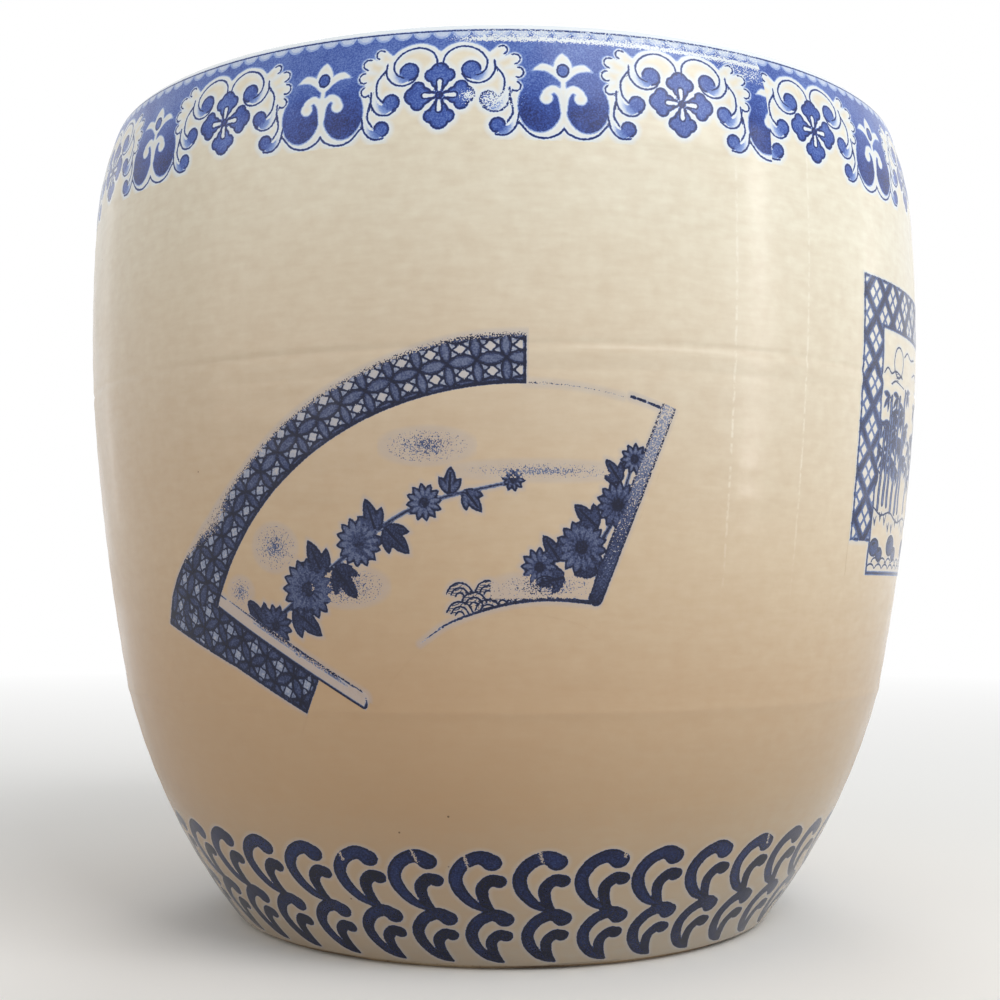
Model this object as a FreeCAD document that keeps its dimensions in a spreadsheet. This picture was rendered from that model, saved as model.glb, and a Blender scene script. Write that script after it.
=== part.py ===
import FreeCAD, Part
import math
import os
import Sketcher

# Round glazed stoneware pot: a barrel body on a recessed foot ring, thrown in three sections that are joined at
# the waist and at a seam, with a rounded lip, a glaze coat outside and over the mouth, and printed bands and
# panels as thin plates on the glaze. +Z is up, the origin is the centre of the ground contact, and -Y is the
# front.

doc = FreeCAD.newDocument("Planter")

# Driving sizes, in millimetres and degrees. Heights are stacked from the ground up, radii are those of the
# finished glazed surface, and a bulge is how far an arc stands out from the middle of its chord.

SIZES = {
    "foot_outer_radius": 104,
    "foot_ring_width": 16,
    "foot_height": 5,
    "foot_edge_round": 1.2,
    "floor_thickness": 12,
    "wall_foot_gap": 1.3,
    "wall_foot_setback": 1.5,
    "wall_foot_bevel": 0.5,
    "belly_radius": 164,
    "foot_curve_height": 87.2,
    "foot_curve_bulge": 5.6,
    "waist_setback": 14.4,
    "belly_curve_height": 111,
    "belly_curve_bulge": 1.7,
    "shoulder_height": 70,
    "shoulder_bulge": 1,
    "neck_height": 29.7,
    "neck_bulge": 1.1,
    "lip_crown_setback": 12.5,
    "lip_roll_radius": 6.5,
    "lip_join_angle": 20,
    "lip_crown_width": 3,
    "lip_inner_roll_radius": 5,
    "lip_land_height": 9,
    "lip_cove_bulge": 2.5,
    "wall_thickness": 9,
    "glaze_thickness": 0.5,
    "print_thickness": 0.25,
    "rim_border_top_gap": 0.7,
    "rim_border_height": 36,
    "foot_border_bottom_gap": 0.8,
    "foot_border_height": 42.2,
    "fan_azimuth": -14,
    "fan_pivot_side": 44,
    "fan_pivot_height": 62.5,
    "fan_inner_radius": 60,
    "fan_leaf_length": 67,
    "fan_right_angle": 69,
    "fan_left_angle": 152,
    "fan_strip_width": 15,
    "fan_strip_right_angle": 90,
    "fan_strip_corner_angle": 158,
    "fan_strip_leg_length": 52,
    "frame_azimuth": 64,
    "frame_width": 80,
    "frame_height": 85,
    "frame_bottom_height": 133,
    "frame_lattice_side": 16,
    "frame_lattice_top": 15,
    "frame_lattice_short_end": 12,
    "frame_lattice_raised_foot": 11,
    "half_turn": 180,
    "cutter_overrun": 20,
}

sheet = doc.addObject("Spreadsheet::Sheet", "Sizes")
for row, (alias, number) in enumerate(SIZES.items(), start=1):
    sheet.set(f"A{row}", alias)
    sheet.set(f"B{row}", str(number))
    sheet.setAlias(f"B{row}", alias)
doc.recompute()


class Size:
    """A length that is worked out from cells of the sheet: its value now, and the expression that binds it."""

    def __init__(self, value, text):
        self.value = value
        self.text = text

    def __add__(self, other):
        return Size(self.value + other.value, f"({self.text} + {other.text})")

    def __sub__(self, other):
        return Size(self.value - other.value, f"({self.text} - {other.text})")

    def halved(self):
        return Size(self.value / 2, f"({self.text} / 2)")

    def negated(self):
        return Size(-self.value, f"(-{self.text})")

    def along(self, angle):
        return Size(self.value * math.cos(math.radians(angle.value)), f"({self.text} * cos({angle.text}))")

    def across(self, angle):
        return Size(self.value * math.sin(math.radians(angle.value)), f"({self.text} * sin({angle.text}))")


def cell(alias):
    return Size(float(sheet.get(alias)), f"Sizes.{alias}")


def bind(thing, path, size):
    thing.setExpression(path, size.text)


# Finished outer surface, from the glaze's lower edge up to the crown of the lip

no_inset = Size(0, "0")
glaze = cell("glaze_thickness")
wall = cell("wall_thickness")
foot_radius = cell("foot_outer_radius")
gap_height = cell("wall_foot_gap")
setback_radius = foot_radius + cell("wall_foot_setback")
base_radius = setback_radius + cell("wall_foot_bevel") + glaze
base_height = gap_height + cell("wall_foot_bevel")
belly_radius = cell("belly_radius")
waist_radius = belly_radius - cell("waist_setback")
waist_height = base_height + cell("foot_curve_height")
seam_height = waist_height + cell("belly_curve_height")
shoulder_height = seam_height + cell("shoulder_height")
neck_top_height = shoulder_height + cell("neck_height")

lip_join = cell("lip_join_angle")
lip_roll = cell("lip_roll_radius")
crown_radius = belly_radius - cell("lip_crown_setback")
lip_centre_height = neck_top_height - lip_roll.across(lip_join)
crown_height = lip_centre_height + lip_roll
crown_middle = crown_radius - cell("lip_crown_width").halved()
inner_roll = cell("lip_inner_roll_radius")
inner_roll_centre = crown_radius - cell("lip_crown_width")
inner_roll_height = crown_height - inner_roll
mouth_radius = inner_roll_centre - inner_roll
land_bottom_height = inner_roll_height - cell("lip_land_height")
floor_top_height = cell("foot_height") + cell("floor_thickness")


# Outlines are lists of corners. An arc to a corner is written as a bulge, or as a centre for a rolled edge.

def corner(across, up, bulge=None, centre=None, radius=None):
    return {"across": across, "up": up, "bulge": bulge, "centre": centre, "radius": radius}


def outer_wall(inset, from_corner, to_corner):
    """Corners of the outer surface, moved inwards by inset, between two of its named heights."""
    stops = [
        corner(base_radius - inset, base_height),
        corner(waist_radius - inset, waist_height, cell("foot_curve_bulge")),
        corner(belly_radius - inset, seam_height, cell("belly_curve_bulge")),
        corner(belly_radius - inset, shoulder_height, cell("shoulder_bulge")),
        neck_top(inset),
    ]
    chosen = stops[from_corner:to_corner + 1]
    chosen[0] = corner(chosen[0]["across"], chosen[0]["up"])
    return chosen


def neck_top(inset):
    """Where the wall's last arc runs into the roll of the lip."""
    roll = lip_roll - inset
    across = crown_radius + roll.along(lip_join)
    up = lip_centre_height + roll.across(lip_join)
    return corner(across, up, cell("neck_bulge"))


def outer_roll(inset):
    """The outer rolled edge, from the neck up to the crown."""
    centre = (crown_radius, lip_centre_height)
    return corner(crown_radius, crown_height - inset, centre=centre, radius=lip_roll - inset)


def inner_edge(inset):
    """The inner rolled edge, the upright land of the mouth and the cove under it, from the crown down."""
    centre = (inner_roll_centre, inner_roll_height)
    return [
        corner(inner_roll_centre, crown_height - inset),
        corner(mouth_radius + inset, inner_roll_height, centre=centre, radius=inner_roll - inset),
        corner(mouth_radius + inset, land_bottom_height),
        corner(belly_radius - wall - glaze + inset, shoulder_height, cell("lip_cove_bulge")),
    ]


def reversed_corners(corners):
    """The same corners walked the other way, each arc kept with the stretch that it belongs to."""
    backwards = []
    arc = corner(None, None)
    for stop in reversed(corners):
        backwards.append(dict(arc, across=stop["across"], up=stop["up"]))
        arc = stop
    return backwards


def fixed_point(sketch, geometry, place, across, up):
    """Ties one sketch point to its place. A coordinate of None lies on that axis of the sketch."""
    for axis, name, size in ((-2, "DistanceX", across), (-1, "DistanceY", up)):
        if size is None:
            sketch.addConstraint(Sketcher.Constraint("PointOnObject", geometry, place, axis))
        else:
            index = sketch.addConstraint(Sketcher.Constraint(name, -1, 1, geometry, place, size.value))
            bind(sketch, f"Constraints[{index}]", size)


def value_of(size):
    return size.value if size else 0


def arc_middle(start, end):
    """The point that an arc passes: out from its chord by the bulge."""
    across = (start["across"] + end["across"]).halved() + end["bulge"]
    return across, (start["up"] + end["up"]).halved()


def add_edge(sketch, start, end):
    """Adds the line or arc that runs from one corner to the next, and returns it with its two end places."""
    first = FreeCAD.Vector(value_of(start["across"]), value_of(start["up"]))
    last = FreeCAD.Vector(value_of(end["across"]), value_of(end["up"]))
    if end["bulge"]:
        across, up = arc_middle(start, end)
        middle = FreeCAD.Vector(across.value, up.value)
        edge = sketch.addGeometry(Part.Arc(first, middle, last))
        point = sketch.addGeometry(Part.Point(middle), True)
        fixed_point(sketch, point, 1, across, up)
        sketch.addConstraint(Sketcher.Constraint("PointOnObject", point, 1, edge))
    elif end["centre"]:
        across, up = end["centre"]
        centre = FreeCAD.Vector(across.value, up.value)
        towards = ((first - centre) + (last - centre)).normalize()
        edge = sketch.addGeometry(Part.Arc(first, centre + towards * end["radius"].value, last))
        fixed_point(sketch, edge, 3, across, up)
    else:
        return sketch.addGeometry(Part.LineSegment(first, last)), 1, 2
    begins = sketch.getPoint(edge, 1).distanceToPoint(first)
    ends = sketch.getPoint(edge, 2).distanceToPoint(first)
    return (edge, 1, 2) if begins < ends else (edge, 2, 1)


def draw_outline(sketch, corners):
    """Draws a closed outline and ties every corner to the sheet."""
    edges = [add_edge(sketch, corners[index - 1], stop) for index, stop in enumerate(corners)]
    for index, stop in enumerate(corners):
        edge, _, finish = edges[index]
        following, start, _ = edges[(index + 1) % len(edges)]
        sketch.addConstraint(Sketcher.Constraint("Coincident", edge, finish, following, start))
        if stop["centre"]:
            end_of_roll(sketch, edge, finish, stop)
        else:
            fixed_point(sketch, edge, finish, stop["across"], stop["up"])


def end_of_roll(sketch, edge, finish, stop):
    """An arc about a centre ends on its own circle, so one coordinate is enough: the one it crosses squarest."""
    across, up = stop["centre"]
    beside = abs(stop["across"].value - across.value) > abs(stop["up"].value - up.value)
    name, size = ("DistanceY", stop["up"]) if beside else ("DistanceX", stop["across"])
    index = sketch.addConstraint(Sketcher.Constraint(name, -1, 1, edge, finish, size.value))
    bind(sketch, f"Constraints[{index}]", size)


def upright_sketch(body, name):
    """A sketch on the body's own XZ plane: its X runs outwards and its Y runs up."""
    plane = [item for item in body.Origin.OriginFeatures if item.Role == "XZ_Plane"][0]
    sketch = body.newObject("Sketcher::SketchObject", name)
    sketch.AttachmentSupport = [(plane, "")]
    sketch.MapMode = "FlatFace"
    return sketch


def turned_body(label, corners):
    """A body of revolution about the pot's axis."""
    body = doc.addObject("PartDesign::Body", label)
    body.Label = label
    sketch = upright_sketch(body, f"{label}_outline")
    draw_outline(sketch, corners)
    turn = body.newObject("PartDesign::Revolution", f"{label}_turn")
    turn.Profile = sketch
    turn.ReferenceAxis = (sketch, ["V_Axis"])
    turn.Angle = 360
    doc.recompute()
    return body


# Foot ring: bare clay, with its two ground edges eased

def build_foot_ring():
    inner = foot_radius - cell("foot_ring_width")
    top = cell("foot_height")
    ring = turned_body("foot_ring", [
        corner(inner, None),
        corner(foot_radius, None),
        corner(foot_radius, top),
        corner(inner, top),
    ])
    turn = ring.Tip
    names = []
    for number, edge in enumerate(turn.Shape.Edges, start=1):
        box = edge.BoundBox
        if box.ZMax < top.value / 2:
            names.append(f"Edge{number}")
    easing = ring.newObject("PartDesign::Fillet", "foot_ring_easing")
    easing.Base = (turn, names)
    bind(easing, "Radius", cell("foot_edge_round"))
    doc.recompute()
    return ring


# Floor: a plain disc inside the wall, on top of the foot ring

def build_floor_slab():
    slab = doc.addObject("Part::Cylinder", "floor_slab")
    slab.Label = "floor_slab"
    bind(slab, "Radius", foot_radius)
    bind(slab, "Height", cell("floor_thickness"))
    slab.Placement = FreeCAD.Placement(FreeCAD.Vector(0, 0, cell("foot_height").value), FreeCAD.Rotation())
    bind(slab, "Placement.Base.z", cell("foot_height"))
    doc.recompute()
    return slab


# Lower wall: from the bevelled bottom edge up to the waist

def build_lower_wall():
    inside = [
        corner(foot_radius, floor_top_height),
        corner(waist_radius - wall, waist_height, cell("foot_curve_bulge")),
    ]
    outline = [
        corner(foot_radius, gap_height),
        corner(setback_radius, gap_height),
    ]
    outline += outer_wall(glaze, 0, 1)
    outline += reversed_corners(inside)
    return turned_body("lower_wall", outline)


# Middle wall: the second thrown section, from the waist to the seam

def build_middle_wall():
    inside = [
        corner(waist_radius - wall, waist_height),
        corner(belly_radius - wall, seam_height, cell("belly_curve_bulge")),
    ]
    return turned_body("middle_wall", outer_wall(glaze, 1, 2) + reversed_corners(inside))


# Upper wall: the third thrown section, from the seam to the shoulder

def build_upper_wall():
    inside = [
        corner(belly_radius - wall, seam_height),
        corner(belly_radius - wall, shoulder_height, cell("shoulder_bulge")),
    ]
    return turned_body("upper_wall", outer_wall(glaze, 2, 3) + reversed_corners(inside))


# Lip: the neck, the rounded crown, the upright land of the mouth and the cove under it

def build_rim_lip():
    outline = outer_wall(glaze, 3, 4) + [outer_roll(glaze)] + inner_edge(glaze)
    return turned_body("rim_lip", outline)


# Glaze coats. The outer one reaches the middle of the crown, where the inner one takes over.

def build_outer_glaze():
    finished = outer_wall(no_inset, 0, 4) + [outer_roll(no_inset), corner(crown_middle, crown_height)]
    clay = outer_wall(glaze, 0, 4) + [outer_roll(glaze), corner(crown_middle, crown_height - glaze)]
    return turned_body("outer_glaze", finished + reversed_corners(clay))


def build_inner_glaze():
    finished = [corner(crown_middle, crown_height)] + inner_edge(no_inset)
    clay = [corner(crown_middle, crown_height - glaze)] + inner_edge(glaze)
    return turned_body("inner_glaze", finished + reversed_corners(clay))


# Prints: everything printed is cut from one thin layer that covers the outer glaze from its edge to the neck

def build_print_layer():
    thickness = cell("print_thickness")
    glazed = outer_wall(no_inset, 0, 4)
    printed = outer_wall(thickness.negated(), 0, 3)
    printed.append(corner(glazed[-1]["across"] + thickness, neck_top_height, cell("neck_bulge")))
    return turned_body("print_layer", printed + reversed_corners(glazed))


def common_part(label, base, tool):
    piece = doc.addObject("Part::Common", label)
    piece.Label = label
    piece.Base = base
    piece.Tool = tool
    doc.recompute()
    return piece


def build_border(label, layer, bottom, height):
    """A printed band that runs right round between two heights."""
    band = doc.addObject("Part::Cylinder", f"{label}_band")
    bind(band, "Radius", belly_radius + cell("cutter_overrun"))
    bind(band, "Height", height)
    band.Placement = FreeCAD.Placement(FreeCAD.Vector(0, 0, bottom.value), FreeCAD.Rotation())
    bind(band, "Placement.Base.z", bottom)
    doc.recompute()
    return common_part(label, layer, band)


def upright_prism(label, corners, azimuth):
    """A prism that runs from the axis straight out through the wall, with its outline seen from outside."""
    body = doc.addObject("PartDesign::Body", label)
    sketch = upright_sketch(body, f"{label}_outline")
    draw_outline(sketch, corners)
    pad = body.newObject("PartDesign::Pad", f"{label}_pad")
    pad.Profile = sketch
    bind(pad, "Length", belly_radius + cell("cutter_overrun"))
    body.Placement = FreeCAD.Placement(
        FreeCAD.Vector(0, 0, 0), FreeCAD.Rotation(FreeCAD.Vector(0, 0, 1), azimuth.value)
    )
    bind(body, "Placement.Rotation.Angle", azimuth)
    doc.recompute()
    return body


# Fan panel: a fan leaf, with an ornament strip along the left of its outer arc and down its left stick

def fan_corners():
    side = cell("fan_pivot_side")
    height = cell("fan_pivot_height")
    inner = cell("fan_inner_radius")
    leaf = inner + cell("fan_leaf_length")
    strip = leaf + cell("fan_strip_width")
    right = cell("fan_right_angle")
    left = cell("fan_left_angle")
    strip_right = cell("fan_strip_right_angle")
    strip_corner = cell("fan_strip_corner_angle")
    pivot = (side, height)

    def polar(reach, angle, **arc):
        return corner(side + reach.along(angle), height + reach.across(angle), **arc)

    leg = leaf - cell("fan_strip_leg_length")
    leg_end = corner(
        side + leg.along(left) - cell("fan_strip_width").across(left),
        height + leg.across(left) + cell("fan_strip_width").along(left),
    )
    return [
        polar(inner, right, centre=pivot, radius=inner),
        polar(leaf, right),
        polar(leaf, strip_right, centre=pivot, radius=leaf),
        polar(strip, strip_right),
        polar(strip, strip_corner, centre=pivot, radius=strip),
        leg_end,
        polar(leg, left),
        polar(inner, left),
    ]


# Framed panel: an upright picture field, with lattice showing behind its top and left sides

def frame_corners():
    half = cell("frame_width").halved()
    bottom = cell("frame_bottom_height")
    top = bottom + cell("frame_height")
    lattice_left = half.negated() - cell("frame_lattice_side")
    lattice_top = top + cell("frame_lattice_top")
    lattice_bottom = bottom + cell("frame_lattice_raised_foot")
    lattice_right = half - cell("frame_lattice_short_end")
    return [
        corner(half.negated(), bottom),
        corner(half, bottom),
        corner(half, top),
        corner(lattice_right, top),
        corner(lattice_right, lattice_top),
        corner(lattice_left, lattice_top),
        corner(lattice_left, lattice_bottom),
        corner(half.negated(), lattice_bottom),
    ]


# The vessel, the coats and the prints

def build_prints(layer):
    """The two borders, then each panel twice, half a turn apart."""
    rim_height = cell("rim_border_height")
    rim_bottom = neck_top_height - cell("rim_border_top_gap") - rim_height
    foot_bottom = base_height + cell("foot_border_bottom_gap")
    prints = [
        build_border("rim_border_print", layer, rim_bottom, rim_height),
        build_border("foot_border_print", layer, foot_bottom, cell("foot_border_height")),
    ]
    panels = (
        ("fan_print_front", fan_corners(), cell("fan_azimuth")),
        ("fan_print_back", fan_corners(), cell("fan_azimuth") + cell("half_turn")),
        ("framed_print_right", frame_corners(), cell("frame_azimuth")),
        ("framed_print_left", frame_corners(), cell("frame_azimuth") + cell("half_turn")),
    )
    for label, corners, azimuth in panels:
        prism = upright_prism(f"{label}_prism", corners, azimuth)
        prints.append(common_part(label, layer, prism))
    return prints


walls = [build_lower_wall(), build_middle_wall(), build_upper_wall()]
vessel = [build_foot_ring(), build_floor_slab()] + walls + [build_rim_lip()]
coats = [build_outer_glaze(), build_inner_glaze()]
pieces = vessel + coats + build_prints(build_print_layer())

# Every object has to have been worked out, and every piece has to be one sound solid

failed = [thing.Name for thing in doc.Objects if {"Invalid", "Error"} & set(thing.State)]
if failed:
    raise SystemExit(f"not worked out: {failed}")
for piece in pieces:
    if piece.Shape.isNull() or not piece.Shape.isValid() or len(piece.Shape.Solids) != 1:
        raise SystemExit(f"{piece.Label} is not one sound solid")

os.makedirs("parts", exist_ok=True)
for piece in pieces:
    piece.Shape.exportStep(f"parts/{piece.Label}.step")
    box = piece.Shape.BoundBox
    print(f"{piece.Label}: {piece.Shape.Volume:.0f} mm3, z {box.ZMin:.2f} to {box.ZMax:.2f}, across {box.XLength:.1f}")
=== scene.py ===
# %% [markdown]
# # A printed stoneware pot
#
# The real object is a heavy barrel-shaped pot, thrown in sections, dipped in a cream glaze and printed in
# cobalt blue with paper transfers: a scroll border under the lip, a border of hooks above the foot, a fan
# panel in front and a framed panel at the side. The CAD model holds its solids. This lesson gives them their
# looks: thrown clay, a glaze with slight swells, and prints that are drawn by code.
#
# Sizes are written in millimetres, as on a potter's drawing, and turned into metres when a mesh is made.

import math

import bmesh
import bpy
import numpy as np
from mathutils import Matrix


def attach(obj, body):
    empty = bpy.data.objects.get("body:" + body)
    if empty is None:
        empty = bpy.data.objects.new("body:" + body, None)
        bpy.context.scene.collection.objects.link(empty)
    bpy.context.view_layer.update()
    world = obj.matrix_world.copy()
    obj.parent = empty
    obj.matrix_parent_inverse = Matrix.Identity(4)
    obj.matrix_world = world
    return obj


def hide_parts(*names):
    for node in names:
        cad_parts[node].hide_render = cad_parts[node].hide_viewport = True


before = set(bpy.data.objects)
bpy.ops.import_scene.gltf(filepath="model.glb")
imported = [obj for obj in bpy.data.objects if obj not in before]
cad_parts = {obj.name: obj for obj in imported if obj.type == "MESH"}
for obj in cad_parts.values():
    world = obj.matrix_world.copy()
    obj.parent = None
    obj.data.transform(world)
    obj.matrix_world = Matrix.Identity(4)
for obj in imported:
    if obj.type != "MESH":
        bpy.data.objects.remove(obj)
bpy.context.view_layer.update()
MM = 0.001
print("CAD nodes:", ", ".join(sorted(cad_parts)))

# %% [markdown]
# ## The outline of the pot
#
# Every piece is laid on one outline, so it is made first. A thrown wall is a few long arcs, and each is given
# as its two ends and a bulge: how far its middle stands out sideways from the straight line between the ends.

# %% Arcs of the finished wall
BASE = (106.5, 1.8)
WAIST = (149.6, 89.0)
SEAM = (164.0, 200.0)
SHOULDER = (164.0, 270.0)
NECK_TOP = (157.61, 299.70)
FOOT_BULGE = 5.6
BELLY_BULGE = 1.7
SHOULDER_BULGE = 1.0
NECK_BULGE = 1.1
LIP_CENTRE = (151.5, 297.48)
LIP_ROLL = 6.5
LIP_JOIN = 20
CROWN = (150.0, 303.98)
GLAZE = 0.5
WALL = 9.0


def polar(centre, reach, turn):
    """The point that lies so far from a centre, in a direction given in radians."""
    return (centre[0] + reach * math.cos(turn), centre[1] + reach * math.sin(turn))


def arc(start, end, bulge, steps):
    """Points from start to end along an arc whose middle stands out sideways by the bulge."""
    middle = ((start[0] + end[0]) / 2 + bulge, (start[1] + end[1]) / 2)
    square = np.dot(start, start)
    sides = 2 * (np.array([middle, end]) - start)
    centre = np.linalg.solve(sides, [np.dot(middle, middle) - square, np.dot(end, end) - square])
    first = math.atan2(start[1] - centre[1], start[0] - centre[0])
    last = math.atan2(end[1] - centre[1], end[0] - centre[0])
    turn = (last - first + math.pi) % (2 * math.pi) - math.pi
    reach = math.hypot(start[0] - centre[0], start[1] - centre[1])
    return [polar(centre, reach, first + turn * share) for share in np.linspace(0, 1, steps + 1)]


def roll(centre, radius, first, last, steps):
    """Points along a rolled edge, from one angle to another in degrees."""
    return [polar(centre, radius, turn) for turn in np.radians(np.linspace(first, last, steps + 1))]


# %% The outline as a table
FINE = 200
outline = arc(BASE, WAIST, FOOT_BULGE, FINE)
outline += arc(WAIST, SEAM, BELLY_BULGE, FINE)[1:]
outline += arc(SEAM, SHOULDER, SHOULDER_BULGE, FINE)[1:]
outline += arc(SHOULDER, NECK_TOP, NECK_BULGE, FINE)[1:]
outline += roll(LIP_CENTRE, LIP_ROLL, LIP_JOIN, 89, FINE)[1:]
WALL_RADII, WALL_HEIGHTS = np.array(outline).T
WALL_RUN = np.concatenate([[0], np.cumsum(np.hypot(np.diff(WALL_RADII), np.diff(WALL_HEIGHTS)))])


def wall_radius(height):
    return np.interp(height, WALL_HEIGHTS, WALL_RADII)


def height_along(run):
    """Height of the point that lies so far up the wall from its lower edge, measured along the wall."""
    return np.interp(run, WALL_RUN, WALL_HEIGHTS)


def clay_line(low, high, steps):
    """Points up the outer face of the clay, which lies one glaze coat below the finished wall."""
    heights = np.linspace(low, high, steps + 1)
    return [(float(wall_radius(height)) - GLAZE, float(height)) for height in heights]


print(f"the wall is {WALL_RUN[-1]:.0f} mm long from foot to crown")
print(f"and {WALL_RADII.max() * 2:.0f} mm across at most")

# %% [markdown]
# ## Relief of the thrown wall
#
# A thrown wall is never true. The sections were joined at a waist and at a seam, which still show as a low
# ridge and a shallow groove, and the wall swells a little between them. One function says how far the surface
# stands out at each place. The glaze, the clay and every print ask it, so that they always fit each other.

# %% Relief function
SWELL = 0.22
SWELL_RISE = 47
SECOND_SWELL_SHARE = 0.6
SECOND_SWELL_RISE = 31
RING_DEPTH = 0.05
RING_PITCH = 11.0
RING_TILT = 0.8
SEAM_GROOVE = 0.34
SEAM_RISE = 0.6
SEAM_WAVES = ((1.3, 1, 0.3), (0.7, 4, 0))
SEAM_WIDTH = 1.3
BEAD_SHARE = 0.45
BEAD_DROP = 3.4
BEAD_WIDTH = 2.2
SCORE_SHARE = 0.4
SCORE_DROP = 7.8
SCORE_WIDTH = 1.1
SCORE_TURN = 0.3
WAIST_RIDGE = 0.16
WAIST_WIDTH = 1.6
WAIST_WAVE = 0.5
EVEN_ABOVE = 300
EVEN_ABOVE_REACH = 8
EVEN_BELOW = 1
EVEN_BELOW_REACH = 4


def unit(value):
    """Holds a value between 0 and 1."""
    return np.clip(value, 0, 1)


def hump(value, centre, width):
    return np.exp(-((value - centre) / width) ** 2)


def waves(azimuth, terms):
    """A sum of waves round the pot. Each has a height, a count round the pot and a phase."""
    return sum(size * np.sin(count * azimuth + phase) for size, count, phase in terms)


def relief(azimuth, height):
    """How far the glazed wall stands out from its true arcs. The azimuth is in radians, 0 at the front."""
    swell = np.sin(3 * azimuth + height / SWELL_RISE)
    swell += SECOND_SWELL_SHARE * np.sin(5 * azimuth - height / SECOND_SWELL_RISE + 1)
    rings = np.sin(2 * math.pi * height / RING_PITCH + RING_TILT * np.sin(2 * azimuth))
    seam_height = SEAM[1] + SEAM_RISE + waves(azimuth, SEAM_WAVES)
    bead = BEAD_SHARE * hump(height, seam_height - BEAD_DROP, BEAD_WIDTH)
    round_the_seam = 0.5 + 0.5 * np.cos(2 * azimuth - SCORE_TURN)
    score = SCORE_SHARE * hump(height, seam_height - SCORE_DROP, SCORE_WIDTH) * round_the_seam
    seam = bead - score - hump(height, seam_height, SEAM_WIDTH)
    waist = hump(height, WAIST[1] + WAIST_WAVE * np.sin(2 * azimuth), WAIST_WIDTH)
    total = SWELL * swell + RING_DEPTH * rings + SEAM_GROOVE * seam + WAIST_RIDGE * waist
    near_the_lip = unit((EVEN_ABOVE - height) / EVEN_ABOVE_REACH)
    near_the_foot = unit((height - EVEN_BELOW) / EVEN_BELOW_REACH)
    return total * near_the_lip * near_the_foot


# %% [markdown]
# ## Turning clay and glaze on the wheel
#
# A round pot is a profile spun about its axis, and bmesh has an operator that does just that. Each section
# of clay is a closed profile, so the spun mesh is a closed solid. The rows of the outline are close together
# near the seam and the waist, where the relief is narrow, and wide apart elsewhere.

# %% Spinning a profile
STEPS_ROUND = 384
POLE = 0.01
SHARP = math.radians(50)


def spin_profile(name, profile, steps=STEPS_ROUND):
    """A closed solid of revolution from a closed profile of (radius, height) points."""
    bm = bmesh.new()
    points = [bm.verts.new((radius * MM, 0, height * MM)) for radius, height in profile]
    for first, second in zip(points, points[1:] + points[:1]):
        bm.edges.new((first, second))
    parts = bm.verts[:] + bm.edges[:]
    bmesh.ops.spin(
        bm, geom=parts, cent=(0, 0, 0), axis=(0, 0, 1), angle=2 * math.pi, steps=steps, use_merge=True,
    )
    bmesh.ops.remove_doubles(bm, verts=bm.verts[:], dist=POLE * MM)
    bmesh.ops.recalc_face_normals(bm, faces=bm.faces[:])
    return finished_mesh(name, bm)


def finished_mesh(name, bm):
    mesh = bpy.data.meshes.new(name)
    bm.to_mesh(mesh)
    bm.free()
    mesh.shade_smooth()
    return mesh


def points_of(mesh):
    """The places of a mesh's points, in millimetres, one row for each."""
    places = np.empty(len(mesh.vertices) * 3)
    mesh.vertices.foreach_get("co", places)
    return places.reshape(-1, 3) / MM


def around(mesh):
    """The places of a mesh's points, and their distances and azimuths round the pot's axis."""
    places = points_of(mesh)
    return places, np.hypot(places[:, 0], places[:, 1]), np.arctan2(places[:, 0], -places[:, 1])


def move_points(mesh, places):
    mesh.vertices.foreach_set("co", (places * MM).ravel())
    mesh.update()


def move_out(mesh, places, out):
    """Moves every point of a coat or wall away from the axis by its own distance."""
    radius = np.hypot(places[:, 0], places[:, 1])
    places[:, :2] *= ((radius + out) / radius)[:, None]
    move_points(mesh, places)
    mesh.set_sharp_from_angle(angle=SHARP)


def add_piece(mesh, node):
    """Shows a mesh as one piece of the pot, in place of a CAD node."""
    piece = bpy.data.objects.new(mesh.name, mesh)
    bpy.context.scene.collection.objects.link(piece)
    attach(piece, "root")
    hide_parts(node)
    return piece


def report(piece):
    print(f"{piece.name}: {len(piece.data.polygons)} faces")


# %% [markdown]
# ## Outer glaze
#
# The coat is a shell half a millimetre thick on the finished outline. Both of its faces take the relief, and
# so does the clay under it, so that no clay comes through where the wall swells inwards.

# %% Heights of the rows
FINE_ROW = 0.5
WIDE_ROW = 2.4
WAIST_REACH = 5
SEAM_REACH = 12
SEAM_MIDDLE = SEAM[1] - 3


def row_heights(low, high):
    """Heights from low to high, close together at the waist and the seam."""
    heights = [low]
    while heights[-1] < high:
        here = heights[-1]
        narrow = abs(here - WAIST[1]) < WAIST_REACH or abs(here - SEAM_MIDDLE) < SEAM_REACH
        heights.append(here + (FINE_ROW if narrow else WIDE_ROW))
    return heights[:-1]


# %% The coat
CLAY_TOP = 294
LIP_START_ANGLE = 4
LIP_STEPS = 16
UNDER_LIP_STEPS = 6
COAT_STEPS = 21


def build_outer_coat():
    heights = row_heights(BASE[1], LIP_CENTRE[1])
    finished = [(float(wall_radius(height)), height) for height in heights]
    finished += roll(LIP_CENTRE, LIP_ROLL, LIP_START_ANGLE, 90, LIP_STEPS) + [CROWN]
    clay = [(CROWN[0], CROWN[1] - GLAZE)]
    clay += roll(LIP_CENTRE, LIP_ROLL - GLAZE, 90, LIP_JOIN, UNDER_LIP_STEPS)
    mesh = spin_profile("outer_coat", finished + clay + clay_line(CLAY_TOP, BASE[1], COAT_STEPS))
    places, _, azimuth = around(mesh)
    move_out(mesh, places, relief(azimuth, places[:, 2]))
    return add_piece(mesh, "outer_glaze")


outer_coat = build_outer_coat()
report(outer_coat)

# %% [markdown]
# ## Inner glaze
#
# The glaze was poured over the mouth and ran a little way down the inside, so its lower edge is a wavy line
# with a few runs. The spun shell is shaped first, then its lower rows are pulled down unevenly.

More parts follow.
